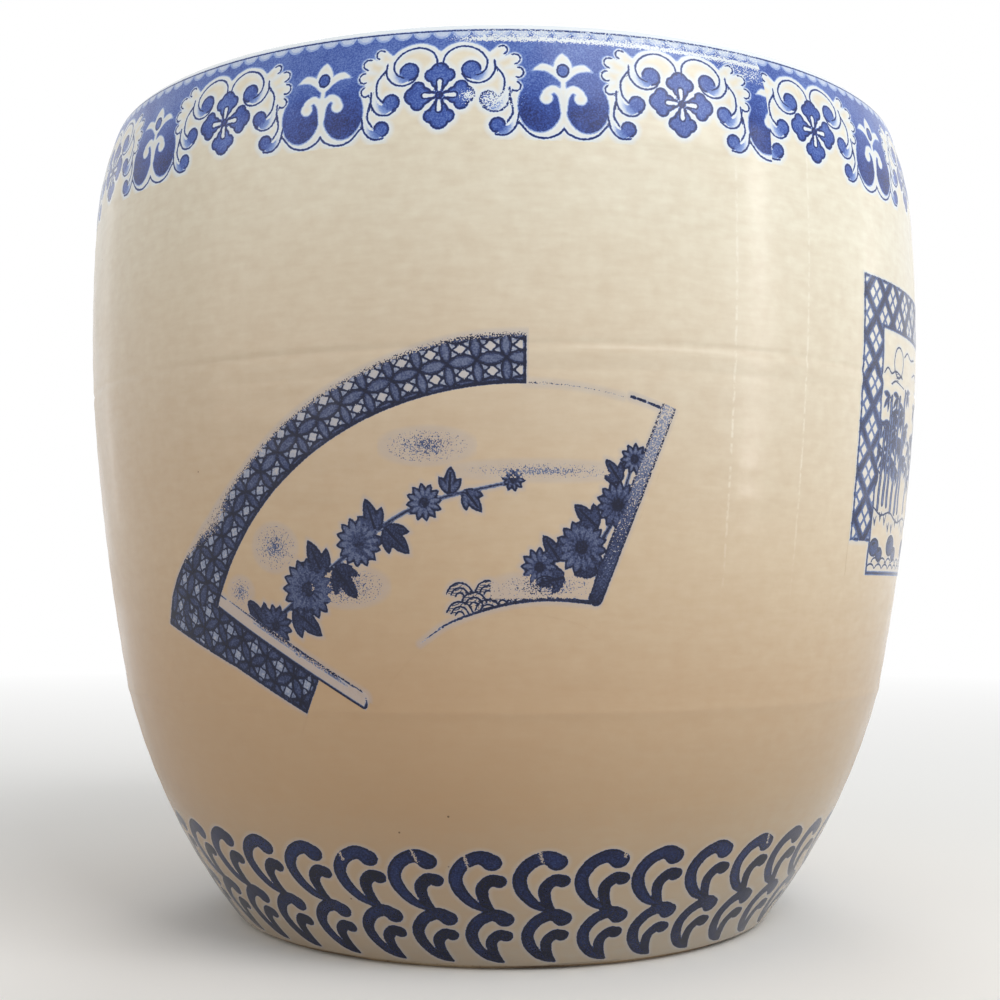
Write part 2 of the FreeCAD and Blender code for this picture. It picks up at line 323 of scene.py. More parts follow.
# %% The coat over the mouth
MOUTH_RADIUS = 143.5
INNER_ROLL_CENTRE = (148.5, 298.98)
INNER_ROLL = 5.0
LAND_TOP = 297
LAND_BOTTOM = 289.98
COVE_BULGE = 2.5
GLAZE_EDGE = 266.0
EDGE_WAVES = ((1.6, 3, 0), (1.1, 7, 2), (0.8, 19, 0))
UNDER_EDGE = (155.6, GLAZE_EDGE)
UNDER_CROWN = (CROWN[0], 303.4)
UNDER_SHARE = 1.2
MOUTH_STEPS = 14
LAND_STEPS = 5
COVE_STEPS = 12
THINNING = [(154.52, 269.0), (154.56, 268.0), (154.7, 267.0), (155.02, GLAZE_EDGE)]
RUNS_AT = (-2.6, -1.1, 0.35, 1.7, 2.5)
RUN_LENGTH = 5
RUN_WIDTH = 0.035
PULLED_BELOW = 272
PULLED_REACH = 6


def build_inner_coat():
    finished = [CROWN] + roll(INNER_ROLL_CENTRE, INNER_ROLL, 90, 180, MOUTH_STEPS)
    finished += [(MOUTH_RADIUS, height) for height in np.linspace(LAND_TOP, LAND_BOTTOM, LAND_STEPS)]
    cove = (SHOULDER[0] - WALL - GLAZE, SHOULDER[1])
    finished += arc((MOUTH_RADIUS, LAND_BOTTOM), cove, COVE_BULGE, COVE_STEPS)[1:] + THINNING
    under = GLAZE * UNDER_SHARE
    clay = [(radius + under, height) for radius, height in finished[-5::-3] if height < LAND_TOP]
    mesh = spin_profile("inner_coat", finished + [UNDER_EDGE] + clay + [UNDER_CROWN])
    places, _, azimuth = around(mesh)
    runs = sum(RUN_LENGTH * hump(azimuth, at, RUN_WIDTH) for at in RUNS_AT)
    pull = unit((PULLED_BELOW - places[:, 2]) / PULLED_REACH)
    places[:, 2] -= pull * (waves(azimuth, EDGE_WAVES) + runs)
    move_points(mesh, places)
    mesh.set_sharp_from_angle(angle=SHARP)
    return add_piece(mesh, "inner_glaze")


inner_coat = build_inner_coat()
report(inner_coat)

# %% [markdown]
# ## Clay sections
#
# Inside, the pot is bare. The potter's fingers left rings on the walls and a spiral on the floor. The outer
# face of each section is hidden under the glaze, so it has few rows, and the detail goes to the inner face.

# %% Throwing rings
THROWN_PITCH = 8.5
THROWN_DEPTH = 0.45
FIRST_RING = 0.6
SECOND_RING = 0.25
SECOND_RING_PHASE = 1.3
UNEVEN_HAND = 0.3
UNEVEN_HAND_RISE = 23
LOWER_STEPS = 44
MIDDLE_STEPS = 60
UPPER_STEPS = 38
OUTSIDE_STEPS = 14
UPPER_OUTSIDE_STEPS = 8
FOOT_RADIUS = 104.0
FLOOR_TOP = 17.0
CLAY_EDGE = 1.3


def thrown(azimuth, height):
    """Depth of the finger rings on the inside of the wall, which climb as a screw does."""
    turn = azimuth + 2 * math.pi * height / THROWN_PITCH
    rings = FIRST_RING * np.sin(turn) + SECOND_RING * np.sin(2 * turn + SECOND_RING_PHASE)
    return THROWN_DEPTH * (rings + UNEVEN_HAND * np.sin(2 * azimuth + height / UNEVEN_HAND_RISE))


def clay_section(name, node, inside, outside):
    """A ring of clay between an inner line, listed upwards, and an outer line, listed upwards."""
    mesh = spin_profile(name, inside + outside[::-1])
    places, radius, azimuth = around(mesh)
    height = places[:, 2]
    inner_radius = np.interp(height, [point[1] for point in inside], [point[0] for point in inside])
    on_inside = (np.abs(radius - inner_radius) < 1) & (height > FLOOR_TOP + 0.1)
    on_outside = radius > wall_radius(height) - 2 * GLAZE
    out = np.where(on_inside, thrown(azimuth, height), 0) + np.where(on_outside, relief(azimuth, height), 0)
    move_out(mesh, places, out)
    return add_piece(mesh, node)


# %% Lower, middle and upper walls
inner_waist = (WAIST[0] - WALL, WAIST[1])
inner_seam = (SEAM[0] - WALL, SEAM[1])
inner_shoulder = (SHOULDER[0] - WALL, SHOULDER[1])
lower_inside = [(FOOT_RADIUS, CLAY_EDGE)]
lower_inside += arc((FOOT_RADIUS, FLOOR_TOP), inner_waist, FOOT_BULGE, LOWER_STEPS)
lower_outside = [(BASE[0] - 1, CLAY_EDGE)] + clay_line(BASE[1], WAIST[1], OUTSIDE_STEPS)
middle_inside = arc(inner_waist, inner_seam, BELLY_BULGE, MIDDLE_STEPS)
middle_outside = clay_line(WAIST[1], SEAM[1], OUTSIDE_STEPS)
upper_inside = arc(inner_seam, inner_shoulder, SHOULDER_BULGE, UPPER_STEPS)
upper_outside = clay_line(SEAM[1], SHOULDER[1], UPPER_OUTSIDE_STEPS)
clay_walls = [
    clay_section("lower_clay", "lower_wall", lower_inside, lower_outside),
    clay_section("middle_clay", "middle_wall", middle_inside, middle_outside),
    clay_section("upper_clay", "upper_wall", upper_inside, upper_outside),
]
for piece in clay_walls:
    report(piece)

# %% Floor and foot ring
FLOOR_BOTTOM = 5.0
RING_INNER = 88.0
RING_ROUND = 1.2
GLAZE_FOOT = 2.6
SPIRAL_DEPTH = 0.5
DISH_DEPTH = 0.8
FLOOR_STEPS = 53
FLOOR_TURN_STEPS = 256
SPIRAL_START = 12
SPIRAL_END = 6
RING_ROUND_STEPS = 5
RING_TURN_STEPS = 320
WORN_BELOW = 1.1
FOOT_WAVES = ((0.08, 9, 0), (0.07, 23, 1), (0.05, 61, 0))


def build_floor():
    """The floor disc, with the spiral that the potter's finger left from the middle outwards."""
    top = [(radius, FLOOR_TOP) for radius in np.linspace(FOOT_RADIUS, 0, FLOOR_STEPS)]
    under = [(0.0, FLOOR_BOTTOM), (FOOT_RADIUS, FLOOR_BOTTOM)]
    mesh = spin_profile("floor_clay", under + top, steps=FLOOR_TURN_STEPS)
    places, radius, azimuth = around(mesh)
    spiral = SPIRAL_DEPTH * np.sin(2 * math.pi * radius / THROWN_PITCH - azimuth)
    dish = DISH_DEPTH * np.cos(math.pi * radius / FOOT_RADIUS / 2)
    fade = unit(radius / SPIRAL_START) * unit((FOOT_RADIUS - 1 - radius) / SPIRAL_END)
    places[:, 2] += np.where(places[:, 2] > FLOOR_TOP - 1, (spiral - dish) * fade, 0)
    move_points(mesh, places)
    return add_piece(mesh, "floor_slab")


def build_foot_ring():
    """The bare ring under the pot, with both ground edges rounded and worn a little uneven."""
    side = roll((FOOT_RADIUS - RING_ROUND, RING_ROUND), RING_ROUND, -90, 0, RING_ROUND_STEPS)
    inside = roll((RING_INNER + RING_ROUND, RING_ROUND), RING_ROUND, 180, 270, RING_ROUND_STEPS)
    upper = [(FOOT_RADIUS, GLAZE_FOOT), (FOOT_RADIUS, FLOOR_BOTTOM), (RING_INNER, FLOOR_BOTTOM)]
    mesh = spin_profile("foot_ring_clay", side + upper + inside, steps=RING_TURN_STEPS)
    places, _, azimuth = around(mesh)
    low = places[:, 2] < WORN_BELOW
    places[:, 2] += np.where(low, unit(waves(azimuth, FOOT_WAVES)), 0)
    move_points(mesh, places)
    return add_piece(mesh, "foot_ring")


floor_clay = build_floor()
foot_ring_clay = build_foot_ring()
report(floor_clay)
report(foot_ring_clay)

# %% [markdown]
# ## Plates for the prints
#
# A transfer is a thin sheet laid on a curved wall. Each print is made the same way: a thin closed plate is
# swept flat, so that it can be drawn on, and then every point is laid on the wall. The front of a plate has
# rows half a millimetre apart, because the drawing is stored on its points. The back has only a few rows and
# is sunk into the clay, deeper than the groove of the seam.
#
# The drawing is not painted as dots of colour. Each point stores distances in millimetres: how far inside a
# printed area it lies, and how far from the nearest line. The material turns distances into ink, so edges and
# lines stay sharp between the points.

# %% Sweeping a flat plate
ROW = 0.5
BACK_ROW = 7.0
PLATE_DEPTH = 0.8
PRINT_LIFT = 0.05
SUNK_SHARE = 0.2
EDGE_RAMP = 2.0
PLATE_SHARP = math.radians(40)


def sweep_plate(name, bottom, top, steps, travel=None, pivot=(0, 0), angle=0.0):
    """Sweeps an upright strip sideways by travel, or round a pivot by an angle in degrees."""
    length = math.hypot(top[0] - bottom[0], top[1] - bottom[1])
    bm = bmesh.new()
    front = [place_on_strip(bm, bottom, top, t, 0) for t in np.linspace(0, 1, round(length / ROW) + 1)]
    back_rows = max(1, round(length / BACK_ROW))
    back = [place_on_strip(bm, bottom, top, t, PLATE_DEPTH) for t in np.linspace(1, 0, back_rows + 1)]
    loop = front + back
    for first, second in zip(loop, loop[1:] + loop[:1]):
        bm.edges.new((first, second))
    step = (travel / steps * MM, 0, 0) if travel else (0, 0, 0)
    bmesh.ops.spin(
        bm, geom=bm.verts[:] + bm.edges[:], cent=(pivot[0] * MM, 0, pivot[1] * MM), axis=(0, -1, 0),
        dvec=step, angle=math.radians(angle), steps=steps, use_merge=False,
    )
    bmesh.ops.holes_fill(bm, edges=[edge for edge in bm.edges if edge.is_boundary], sides=0)
    bmesh.ops.recalc_face_normals(bm, faces=bm.faces[:])
    return finished_mesh(name, bm)


def place_on_strip(bm, bottom, top, share, depth):
    across = bottom[0] + (top[0] - bottom[0]) * share
    up = bottom[1] + (top[1] - bottom[1]) * share
    return bm.verts.new((across * MM, depth * MM, up * MM))


def upright_plate(name, left, right, low, high):
    """A flat rectangular plate."""
    return sweep_plate(name, (left, low), (left, high), round((right - left) / ROW), travel=right - left)


def lay_on_wall(mesh, azimuth, reach, to_height=None, bare_edge=None):
    """Wraps a flat plate round the wall. Its sideways millimetres are measured at the radius called reach.

    Towards a bare edge, given as its height on the flat plate, the plate sinks gently into the glaze."""
    places = points_of(mesh)
    turned = math.radians(azimuth) + places[:, 0] / reach
    height = to_height(places[:, 2]) if to_height else places[:, 2]
    share = 1.0 if bare_edge is None else unit(np.abs(places[:, 2] - bare_edge) / EDGE_RAMP)
    lift = PRINT_LIFT * ((1 + SUNK_SHARE) * share - SUNK_SHARE)
    radius = wall_radius(height) + relief(turned, height) + lift - places[:, 1]
    move_points(mesh, np.stack([radius * np.sin(turned), -radius * np.cos(turned), height], axis=1))
    mesh.set_sharp_from_angle(angle=PLATE_SHARP)


def copy_of(flat, name):
    """Another copy of a transfer that is already drawn, still flat."""
    mesh = flat.copy()
    mesh.name = name
    return mesh


# %% [markdown]
# ## Drawing with distances
#
# The helper below is the drawing pen. It keeps six numbers for each point of a plate: the distance inside the
# nearest printed area, the tone, the outline strength and the wear of that area, and two distances to the
# nearest line. The second of these changes sign as the line is crossed, and it is the one that stays exact on
# a coarse grid. The first, which has no sign, says where the second can be trusted.

# %% Distances
FAR = 9.0
CURVE_PIECES = 7


def smooth(corners):
    """A smooth curve through given corners, as Catmull and Rom draw it."""
    points = np.array(corners, float)
    padded = np.vstack([2 * points[0] - points[1], points, 2 * points[-1] - points[-2]])
    share = np.linspace(0, 1, CURVE_PIECES, endpoint=False)[:, None]
    runs = []
    for before, start, end, after in zip(padded[:-3], padded[1:-2], padded[2:-1], padded[3:]):
        bend = 2 * before - 5 * start + 4 * end - after
        twist = 3 * start - before - 3 * end + after
        runs.append((2 * start + (end - before) * share + bend * share ** 2 + twist * share ** 3) / 2)
    return np.vstack(runs + [points[-1:]])


def to_segment(across, up, first, second):
    """How far along a segment each point lies, how far from it, and on which side of it."""
    run = second - first
    length = max(float(run @ run), 1e-9)
    share = unit(((across - first[0]) * run[0] + (up - first[1]) * run[1]) / length)
    off_across = across - first[0] - run[0] * share
    off_up = up - first[1] - run[1] * share
    side = np.where(run[0] * (up - first[1]) - run[1] * (across - first[0]) >= 0, 1.0, -1.0)
    return share, np.hypot(off_across, off_up), side


def least(*distances):
    """The smallest distance at each point, which is how far it lies within all of several shapes."""
    return np.minimum.reduce(distances)


def rectangle(across, up, left, right, low, high):
    return least(across - left, right - across, up - low, high - up)


# %% The pen
PEN_REACH = 3.0
RIM_TONE = 0.96
RIM_FADE = 0.35
EVERYWHERE = slice(None)
BLANK = {"solid": -FAR, "tone": 0.0, "edge": 0.0, "line_near": FAR, "line_side": FAR, "wear": 0.0}
SPONGE_EDGE = 0.15
SPONGE_WEAR = 0.35
SPONGE_WEAR_RISE = 0.8


class Print:
    """What is printed on a plate, as distances and tones at each of its points."""

    def __init__(self, across, up):
        self.across = across
        self.up = up
        for name, start in BLANK.items():
            setattr(self, name, np.full(across.shape, start))

    def close_to(self, low, high):
        """The points that a shape between two corners can change."""
        sideways = (self.across > low[0] - PEN_REACH) & (self.across < high[0] + PEN_REACH)
        return np.flatnonzero(sideways & (self.up > low[1] - PEN_REACH) & (self.up < high[1] + PEN_REACH))

    def close_to_disc(self, centre, wide, high):
        return self.close_to((centre[0] - wide, centre[1] - high), (centre[0] + wide, centre[1] + high))

    def area(self, chosen, inside, tone, edge=1.0, rim=0.0, wear=0.0):
        """Prints an area: inside is the distance within it. Its rim, if it has one, is printed dark."""
        if rim:
            tone = tone + (RIM_TONE - tone) * unit((rim - inside) / RIM_FADE + 0.5)
        nearer = inside > self.solid[chosen]
        for name, value in (("tone", tone), ("edge", edge), ("wear", wear), ("solid", inside)):
            layer = getattr(self, name)
            layer[chosen] = np.where(nearer, value, layer[chosen])

    def clear(self, chosen, inside):
        """Leaves an area bare that was printed before."""
        self.solid[chosen] = np.minimum(self.solid[chosen], -inside)

    def hide_outside(self, inside):
        """Takes away what is drawn where inside is negative, with no line along the cut."""
        self.solid = np.minimum(self.solid, inside)
        self.line_near = np.where(inside < 0, FAR, self.line_near)

    def trim(self, inside, band):
        """Keeps the print only where inside is positive, with a line along the cut and a dark band in it."""
        self.tone = np.where(inside < band, RIM_TONE, self.tone)
        self.hide_outside(inside)
        self.border(EVERYWHERE, inside)

    def take(self, other, where):
        """Takes over another drawing of the same points, where a test holds."""
        for name in BLANK:
            setattr(self, name, np.where(where, getattr(other, name), getattr(self, name)))

    def disc_field(self, centre, radius, squash=1.0):
        chosen = self.close_to_disc(centre, radius, radius)
        reach = np.hypot(self.across[chosen] - centre[0], (self.up[chosen] - centre[1]) / squash)
        return chosen, radius - reach

    def disc(self, centre, radius, tone, edge=1.0, squash=1.0, rim=0.0):
        self.area(*self.disc_field(centre, radius, squash), tone, edge, rim)

    def bare_disc(self, centre, radius):
        self.clear(*self.disc_field(centre, radius))

    def stroke_field(self, corners, widths):
        """Distance inside a brush stroke through the corners, whose half width changes along it."""
        path = smooth(corners)
        half = np.interp(np.linspace(0, 1, len(path)), np.linspace(0, 1, len(widths)), widths)
        chosen = self.close_to(path.min(axis=0) - half.max(), path.max(axis=0) + half.max())
        inside = np.full(len(chosen), -FAR)
        for first, second, wide, wide_after in zip(path[:-1], path[1:], half[:-1], half[1:]):
            share, reach, _ = to_segment(self.across[chosen], self.up[chosen], first, second)
            inside = np.maximum(inside, wide + (wide_after - wide) * share - reach)
        return chosen, inside

    def stroke(self, corners, widths, tone, edge=1.0, rim=0.0, wear=0.0):
        self.area(*self.stroke_field(corners, widths), tone, edge, rim, wear)

    def bare_stroke(self, corners, widths):
        self.clear(*self.stroke_field(corners, widths))

    def leaf_field(self, base, tip, half_width):
        """A pointed leaf or petal: what two equal discs share."""
        half = math.hypot(tip[0] - base[0], tip[1] - base[1]) / 2
        radius = (half * half + half_width * half_width) / (2 * half_width)
        middle = ((base[0] + tip[0]) / 2, (base[1] + tip[1]) / 2)
        aside = ((tip[1] - base[1]) / (2 * half), (base[0] - tip[0]) / (2 * half))
        chosen = self.close_to_disc(middle, half, half)
        inside = np.full(len(chosen), FAR)
        for shift in (half_width - radius, radius - half_width):
            centre = (middle[0] + aside[0] * shift, middle[1] + aside[1] * shift)
            reach = np.hypot(self.across[chosen] - centre[0], self.up[chosen] - centre[1])
            inside = np.minimum(inside, radius - reach)
        return chosen, inside

    def leaf(self, base, tip, half_width, tone, edge=1.0, rim=0.0):
        self.area(*self.leaf_field(base, tip, half_width), tone, edge, rim)

    def bare_leaf(self, base, tip, half_width):
        self.clear(*self.leaf_field(base, tip, half_width))

    def sponged(self, centre, spread, tone):
        """A patch dabbed with a sponge: dense in the middle and broken up into specks towards its edge."""
        chosen = self.close_to_disc(centre, *spread)
        aside = (self.across[chosen] - centre[0]) / spread[0]
        reach = np.hypot(aside, (self.up[chosen] - centre[1]) / spread[1])
        inside = np.minimum((1 - reach) * min(spread), SPONGE_EDGE)
        self.area(chosen, inside, tone, 0.0, wear=unit(SPONGE_WEAR + SPONGE_WEAR_RISE * reach))

    def line(self, corners, curved=True):
        """A thin line through the corners."""
        path = smooth(corners) if curved else np.array(corners, float)
        chosen = self.close_to(path.min(axis=0), path.max(axis=0))
        for first, second in zip(path[:-1], path[1:]):
            _, reach, side = to_segment(self.across[chosen], self.up[chosen], first, second)
            self.border(chosen, reach * side)

    def arc_line(self, centre, radius, turns):
        """A thin arc, given by its directions in radians."""
        self.line([polar(centre, radius, turn) for turn in turns])

    def border(self, chosen, inside):
        """A thin line where inside is nought."""
        closer = np.abs(inside) < self.line_near[chosen]
        self.line_side[chosen] = np.where(closer, inside, self.line_side[chosen])
        self.line_near[chosen] = np.where(closer, np.abs(inside), self.line_near[chosen])


# %% Storing the drawing
def store_layer(mesh, name, values):
    layer = mesh.attributes.get(name) or mesh.attributes.new(name, "FLOAT", "POINT")
    layer.data.foreach_set("value", values.astype(np.float32))


def store_print(mesh, draw):
    """Draws on the points of a plate and stores the drawing there, for the material to read."""
    places = points_of(mesh)
    art = draw(places[:, 0], places[:, 2])
    for name in BLANK:
        store_layer(mesh, name, getattr(art, name))


def store_wear(mesh, wear):
    """Stores where a laid print is worn, from 0 to 1, by a function of azimuth in degrees and height."""
    places, _, azimuth = around(mesh)
    store_layer(mesh, "wear", wear(np.degrees(azimuth), places[:, 2]))


# %% [markdown]
# ## Rim border
#
# Two transfer strips go round under the lip, each half a turn long, with seven flowers. One flower between
# two scroll arches is drawn once, in millimetres from its middle line, and mirrored. Between two flowers
# stands a small palm ornament in the blue ground. Where the strips meet, a repeat is cut short.

# %% Ground and palm of the rim border
BORDER_REACH = 162.0
FLOWER_PITCH = 26.85
HALF_REPEAT = math.radians(FLOWER_PITCH / 2) * BORDER_REACH
BORDER_LOW = 263.2
BORDER_TOP = 300.9
TOP_LINE = 300.4
LOBE_CENTRE = (7.3, 274.6)
LOBE_SIZE = (6.6, 8.5)
GROUND_LOW = 280.5
GROUND_TONE = 0.56
GROUND_TONE_RISE = 0.30
GROUND_DARK_BELOW = 286
GROUND_DARK_REACH = 14
GROUND_EDGE = 0.25
HALO = smooth([
    (-3, 293.9), (0, 293.4), (2.4, 295.3), (7, 296.5), (12.4, 295.1), (15.8, 292.0), (18, 289.4),
    (21.2, 286.6), (22.8, 283), (23.0, 279.5), (23.6, 276), (24.4, 272), (25, 268),
])
HALO_STEEP = 17
BESIDE_SHARE = 0.93
ABOVE_SHARE = 0.8


def draw_ground(art):
    """The blue ground: all that lies above the scroll arches, and the two lobes under each palm."""
    aside = HALF_REPEAT - art.across
    lobe = np.hypot((aside - LOBE_CENTRE[0]) / LOBE_SIZE[0], (art.up - LOBE_CENTRE[1]) / LOBE_SIZE[1])
    edge = np.interp(art.across, HALO[:, 0], HALO[:, 1])
    beside = np.interp(-art.up, -HALO[:, 1], HALO[:, 0])
    flat_part = (art.up - edge) * ABOVE_SHARE
    above = np.where(art.across > HALO_STEEP, (art.across - beside) * BESIDE_SHARE, flat_part)
    ground = np.maximum(least(art.up - GROUND_LOW, above), (1 - lobe) * LOBE_SIZE[0])
    tone = GROUND_TONE + GROUND_TONE_RISE * unit((GROUND_DARK_BELOW - art.up) / GROUND_DARK_REACH)
    art.area(EVERYWHERE, least(ground, TOP_LINE - art.up), tone, GROUND_EDGE)


PALM_BUD = ((0, 281.6), (0, 292.6))
PALM_BUD_HALF = 3.1
PALM_STROKES = (
    (((0.4, 283.4), (3.3, 286.2), (6.4, 287.3), (9.8, 286.0)), [1.2, 1.4, 1.45, 0.1]),
    (((0, 286), (0, 276), (0, 270), (0, 266.8)), [1.0, 0.9, 1.1, 1.8]),
    (((0.2, 272.5), (0.8, 277.6), (2.7, 280.0), (4.9, 279.0), (5.5, 277.2)), [0.9, 1.15, 1.4, 1.5, 1.6]),
)
PALM_CURL_END = (5.3, 277.0)
PALM_CURL_RADIUS = 2.15
PALM_SEED = (0, 286.3)
PALM_SEED_LOOK = {"radius": 1.75, "tone": 0.6, "squash": 1.15}
PALM_LINE = ((-0.4, 267.9), (1.6, 265.6), (5.6, 264.2), (10.0, 265.3), (13.4, 268.9))


def from_palm(*corners):
    """Places given from the middle line of a palm ornament."""
    return [(HALF_REPEAT - aside, up) for aside, up in corners]


def draw_palm(art):
    """The palm ornament is left bare in the ground: bud, wings, stem and two curls."""
    art.bare_leaf(*from_palm(*PALM_BUD), PALM_BUD_HALF)
    for corners, widths in PALM_STROKES:
        art.bare_stroke(from_palm(*corners), widths)
    art.bare_disc(*from_palm(PALM_CURL_END), PALM_CURL_RADIUS)
    art.disc(*from_palm(PALM_SEED), **PALM_SEED_LOOK)
    art.line(from_palm(*PALM_LINE))


# %% Scroll arches of the rim border
FRILLS = (
    ((16.4, 290.4), (19.3, 293.2), 2.3),
    ((19.2, 288.0), (23.1, 290.0), 2.5),
    ((20.6, 285.2), (24.2, 285.4), 2.45),
    ((21.0, 281.6), (23.4, 280.7), 2.35),
)
FRILL_LINE = 0.8
FRILL_TAPER = 1.05
DASH_STARTS = range(-108, 90, 44)
DASH = np.array([0, 9, 18])
SCROLL_LINES = (
    ((0.9, 288.2), (1.3, 291.0), (3.2, 293.4), (7, 294.7), (11.6, 293.4), (14.4, 290.2), (14.5, 287.3),
     (13.2, 285.4), (11.4, 284.6)),
    ((16.9, 289.4), (16.9, 285.8), (14.8, 282.9), (11.6, 281.9), (8.6, 282.9), (7.0, 285.0)),
    ((17.5, 287.2), (19.8, 283.6), (19.6, 279.2), (17.9, 277.0)),
    ((21.5, 280.2), (21.4, 276.2), (19.4, 273.2), (16.2, 272.6), (13.6, 274.0)),
    ((21.9, 276.6), (22.5, 272.2), (20.9, 269.2)),
    ((24.4, 272.0), (23.3, 267.6), (20.6, 265.2), (17.4, 265.2)),
)
COMMAS = (
    (((9.9, 286.6), (11.8, 284.4), (14.4, 284.9), (15.9, 287.6)), (9.7, 286.5), 2.85),
    (((15.2, 276.4), (17.3, 274.4), (19.8, 275.8), (20.5, 279.5)), (15.0, 276.6), 2.5),
    (((18.2, 268.0), (20.2, 266.4), (22.5, 268.0), (23.2, 271.2)), (17.9, 268.2), 2.3),
)
COMMA_TONE = 0.62
COMMA_FADE = 0.17
COMMA_HEAD_SHARE = 0.7
COMMA_PALEST = 0.02
COMMA_TIP = 0.25
COMMA_RIM = 0.35
COMMA_WIDTH_SHARES = np.array([0.75, 0.62, 0.4])


def draw_scrolls(art):
    """The scroll arch and its three commas, with frills where the arch meets the ground."""
    for inner, outer, radius in FRILLS:
        art.bare_stroke([inner, outer], [radius * FRILL_TAPER, radius])
    for inner, outer, radius in FRILLS:
        heading = math.degrees(math.atan2(outer[1] - inner[1], outer[0] - inner[0]))
        for first in DASH_STARTS:
            art.arc_line(outer, radius - FRILL_LINE, np.radians(heading + first + DASH))
    for corners in SCROLL_LINES:
        art.line(corners)
    for comma in COMMAS:
        fill_comma(art, *comma)


def fill_comma(art, tail, centre, radius):
    """A round comma head whose blue fades along its tail."""
    chosen, inside = art.stroke_field(tail, [*(radius * COMMA_WIDTH_SHARES), COMMA_TIP])
    off = np.hypot(art.across[chosen] - centre[0], art.up[chosen] - centre[1])
    past_head = np.maximum(off - radius * COMMA_HEAD_SHARE, 0)
    tone = np.clip(COMMA_TONE - COMMA_FADE * past_head, COMMA_PALEST, 1)
    art.area(chosen, inside, tone, 0.0)
    art.disc(centre, radius, COMMA_TONE, rim=COMMA_RIM)


# %% Flower and lappets of the rim border
FLOWER_MIDDLE = 278.2
FLOWER_REACH = 11
PETAL_DISCS = ((0, 8.0, 2.75), (2.6, 6.7, 2.0), (-2.6, 6.7, 2.0), (0, 4.9, 2.6), (0, 2.4, 1.25))
PETAL_TURNS = ((0, 1), (1, 0), (0, -1))
PETAL_TONE = 0.52
PETAL_TONE_RISE = 0.014
PETAL_RIM = 0.42
VEIN = (1.5, 4.6)
VEIN_WIDTHS = [0.75, 1.05]
EYE_RADIUS = 1.05
EYE_TONE = 0.9
LAPPETS = 12
LAPPET_PITCH = 2 * HALF_REPEAT / LAPPETS
LAPPET_LOW = 296
LAPPET_BARE = 3.1
LAPPET_RADIUS = 2.45
LAPPET_TONE = 0.14
LAPPET_SQUASH = 1.12
LAPPET_EDGE = 0.2


def draw_flower(art):
    """Half of the four-petalled flower: the other half is its mirror image."""
    chosen = art.close_to_disc((0, FLOWER_MIDDLE), FLOWER_REACH, FLOWER_REACH)
    across = art.across[chosen]
    up = art.up[chosen] - FLOWER_MIDDLE
    tone = PETAL_TONE + PETAL_TONE_RISE * np.hypot(across, up)
    for side, rise in PETAL_TURNS:
        inside = np.full(len(chosen), -FAR)
        for aside, out, radius in PETAL_DISCS:
            reach = np.hypot(across - out * side - aside * rise, up - out * rise + aside * side)
            inside = np.maximum(inside, radius - reach)
        art.area(chosen, inside, tone, 1.0, rim=PETAL_RIM)
    for side, rise in PETAL_TURNS:
        art.bare_stroke([(out * side, FLOWER_MIDDLE + out * rise) for out in VEIN], VEIN_WIDTHS)
    art.disc((0, FLOWER_MIDDLE), EYE_RADIUS, EYE_TONE)


def draw_lappets(art):
    """Pale half discs that hang from the line under the lip."""
    chosen = np.flatnonzero(art.up > LAPPET_LOW)
    aside = (art.across[chosen] + LAPPET_PITCH / 2) % LAPPET_PITCH - LAPPET_PITCH / 2
    reach = np.hypot(aside, (art.up[chosen] - TOP_LINE) * LAPPET_SQUASH)
    art.clear(chosen, LAPPET_BARE - reach)
    art.area(chosen, LAPPET_RADIUS - reach, LAPPET_TONE, LAPPET_EDGE)
    art.line([(-4, TOP_LINE), (HALF_REPEAT + 4, TOP_LINE)], curved=False)


def draw_rim_repeat(across, up):
    art = Print(np.abs(across), up)
    for draw in (draw_ground, draw_palm, draw_scrolls, draw_flower, draw_lappets):
        draw(art)
    return art


# %% Laying the rim border
RIGHT_CUT = 11.6
LEFT_CUT = 7.3
FIRST_FLOWER = 19.8
FLOWERS = 7
# A streak under the lip: partly worn print, partly a painted highlight.
STREAK_SPAN = (-7, 37)
STREAK_ENDS = (5, 6)
STREAK_HEIGHT = 297.1
STREAK_SLOPE = 0.02
STREAK_HALF = 0.8
STREAK_WEAR_AND_GLARE = 1.3
ABOVE_STREAK = 0.2
ABOVE_STREAK_WEAR_AND_GLARE = 0.4
# Pale spots: two are glaze pits painted white as glints, the third is a thin patch.
WORN_AND_GLINT_SPOTS = (
    (0.8, (-1.2, 2.2), (276.5, 3.2)),
    (0.6, (-3.9, 0.9), (277.8, 1.8)),
    (0.5, (29, 4), (293, 3)),
)


def rim_wear_and_glare(azimuth, height):
    """Where ink is left out: a streak under the lip, partly worn print and partly a painted highlight, glaze
    pits beside one flower painted white as glints, and a thin patch.
    """
    reach = unit((azimuth - STREAK_SPAN[0]) / STREAK_ENDS[0])
    reach = reach * unit((STREAK_SPAN[1] - azimuth) / STREAK_ENDS[1])
    streak = STREAK_WEAR_AND_GLARE * hump(height, STREAK_HEIGHT - STREAK_SLOPE * azimuth, STREAK_HALF)
    streak = streak + ABOVE_STREAK_WEAR_AND_GLARE * unit(height - STREAK_HEIGHT - ABOVE_STREAK)
    spots = sum(depth * hump(azimuth, *at) * hump(height, *up) for depth, at, up in WORN_AND_GLINT_SPOTS)
    return unit(reach * streak + spots)


def flat_repeat(name, left, right):
    """One repeat of the border on a flat plate, between two angles in degrees from its flower."""
    left, right = math.radians(left) * BORDER_REACH, math.radians(right) * BORDER_REACH
    mesh = upright_plate(name, left, right, BORDER_LOW, BORDER_TOP)
    store_print(mesh, draw_rim_repeat)
    return mesh


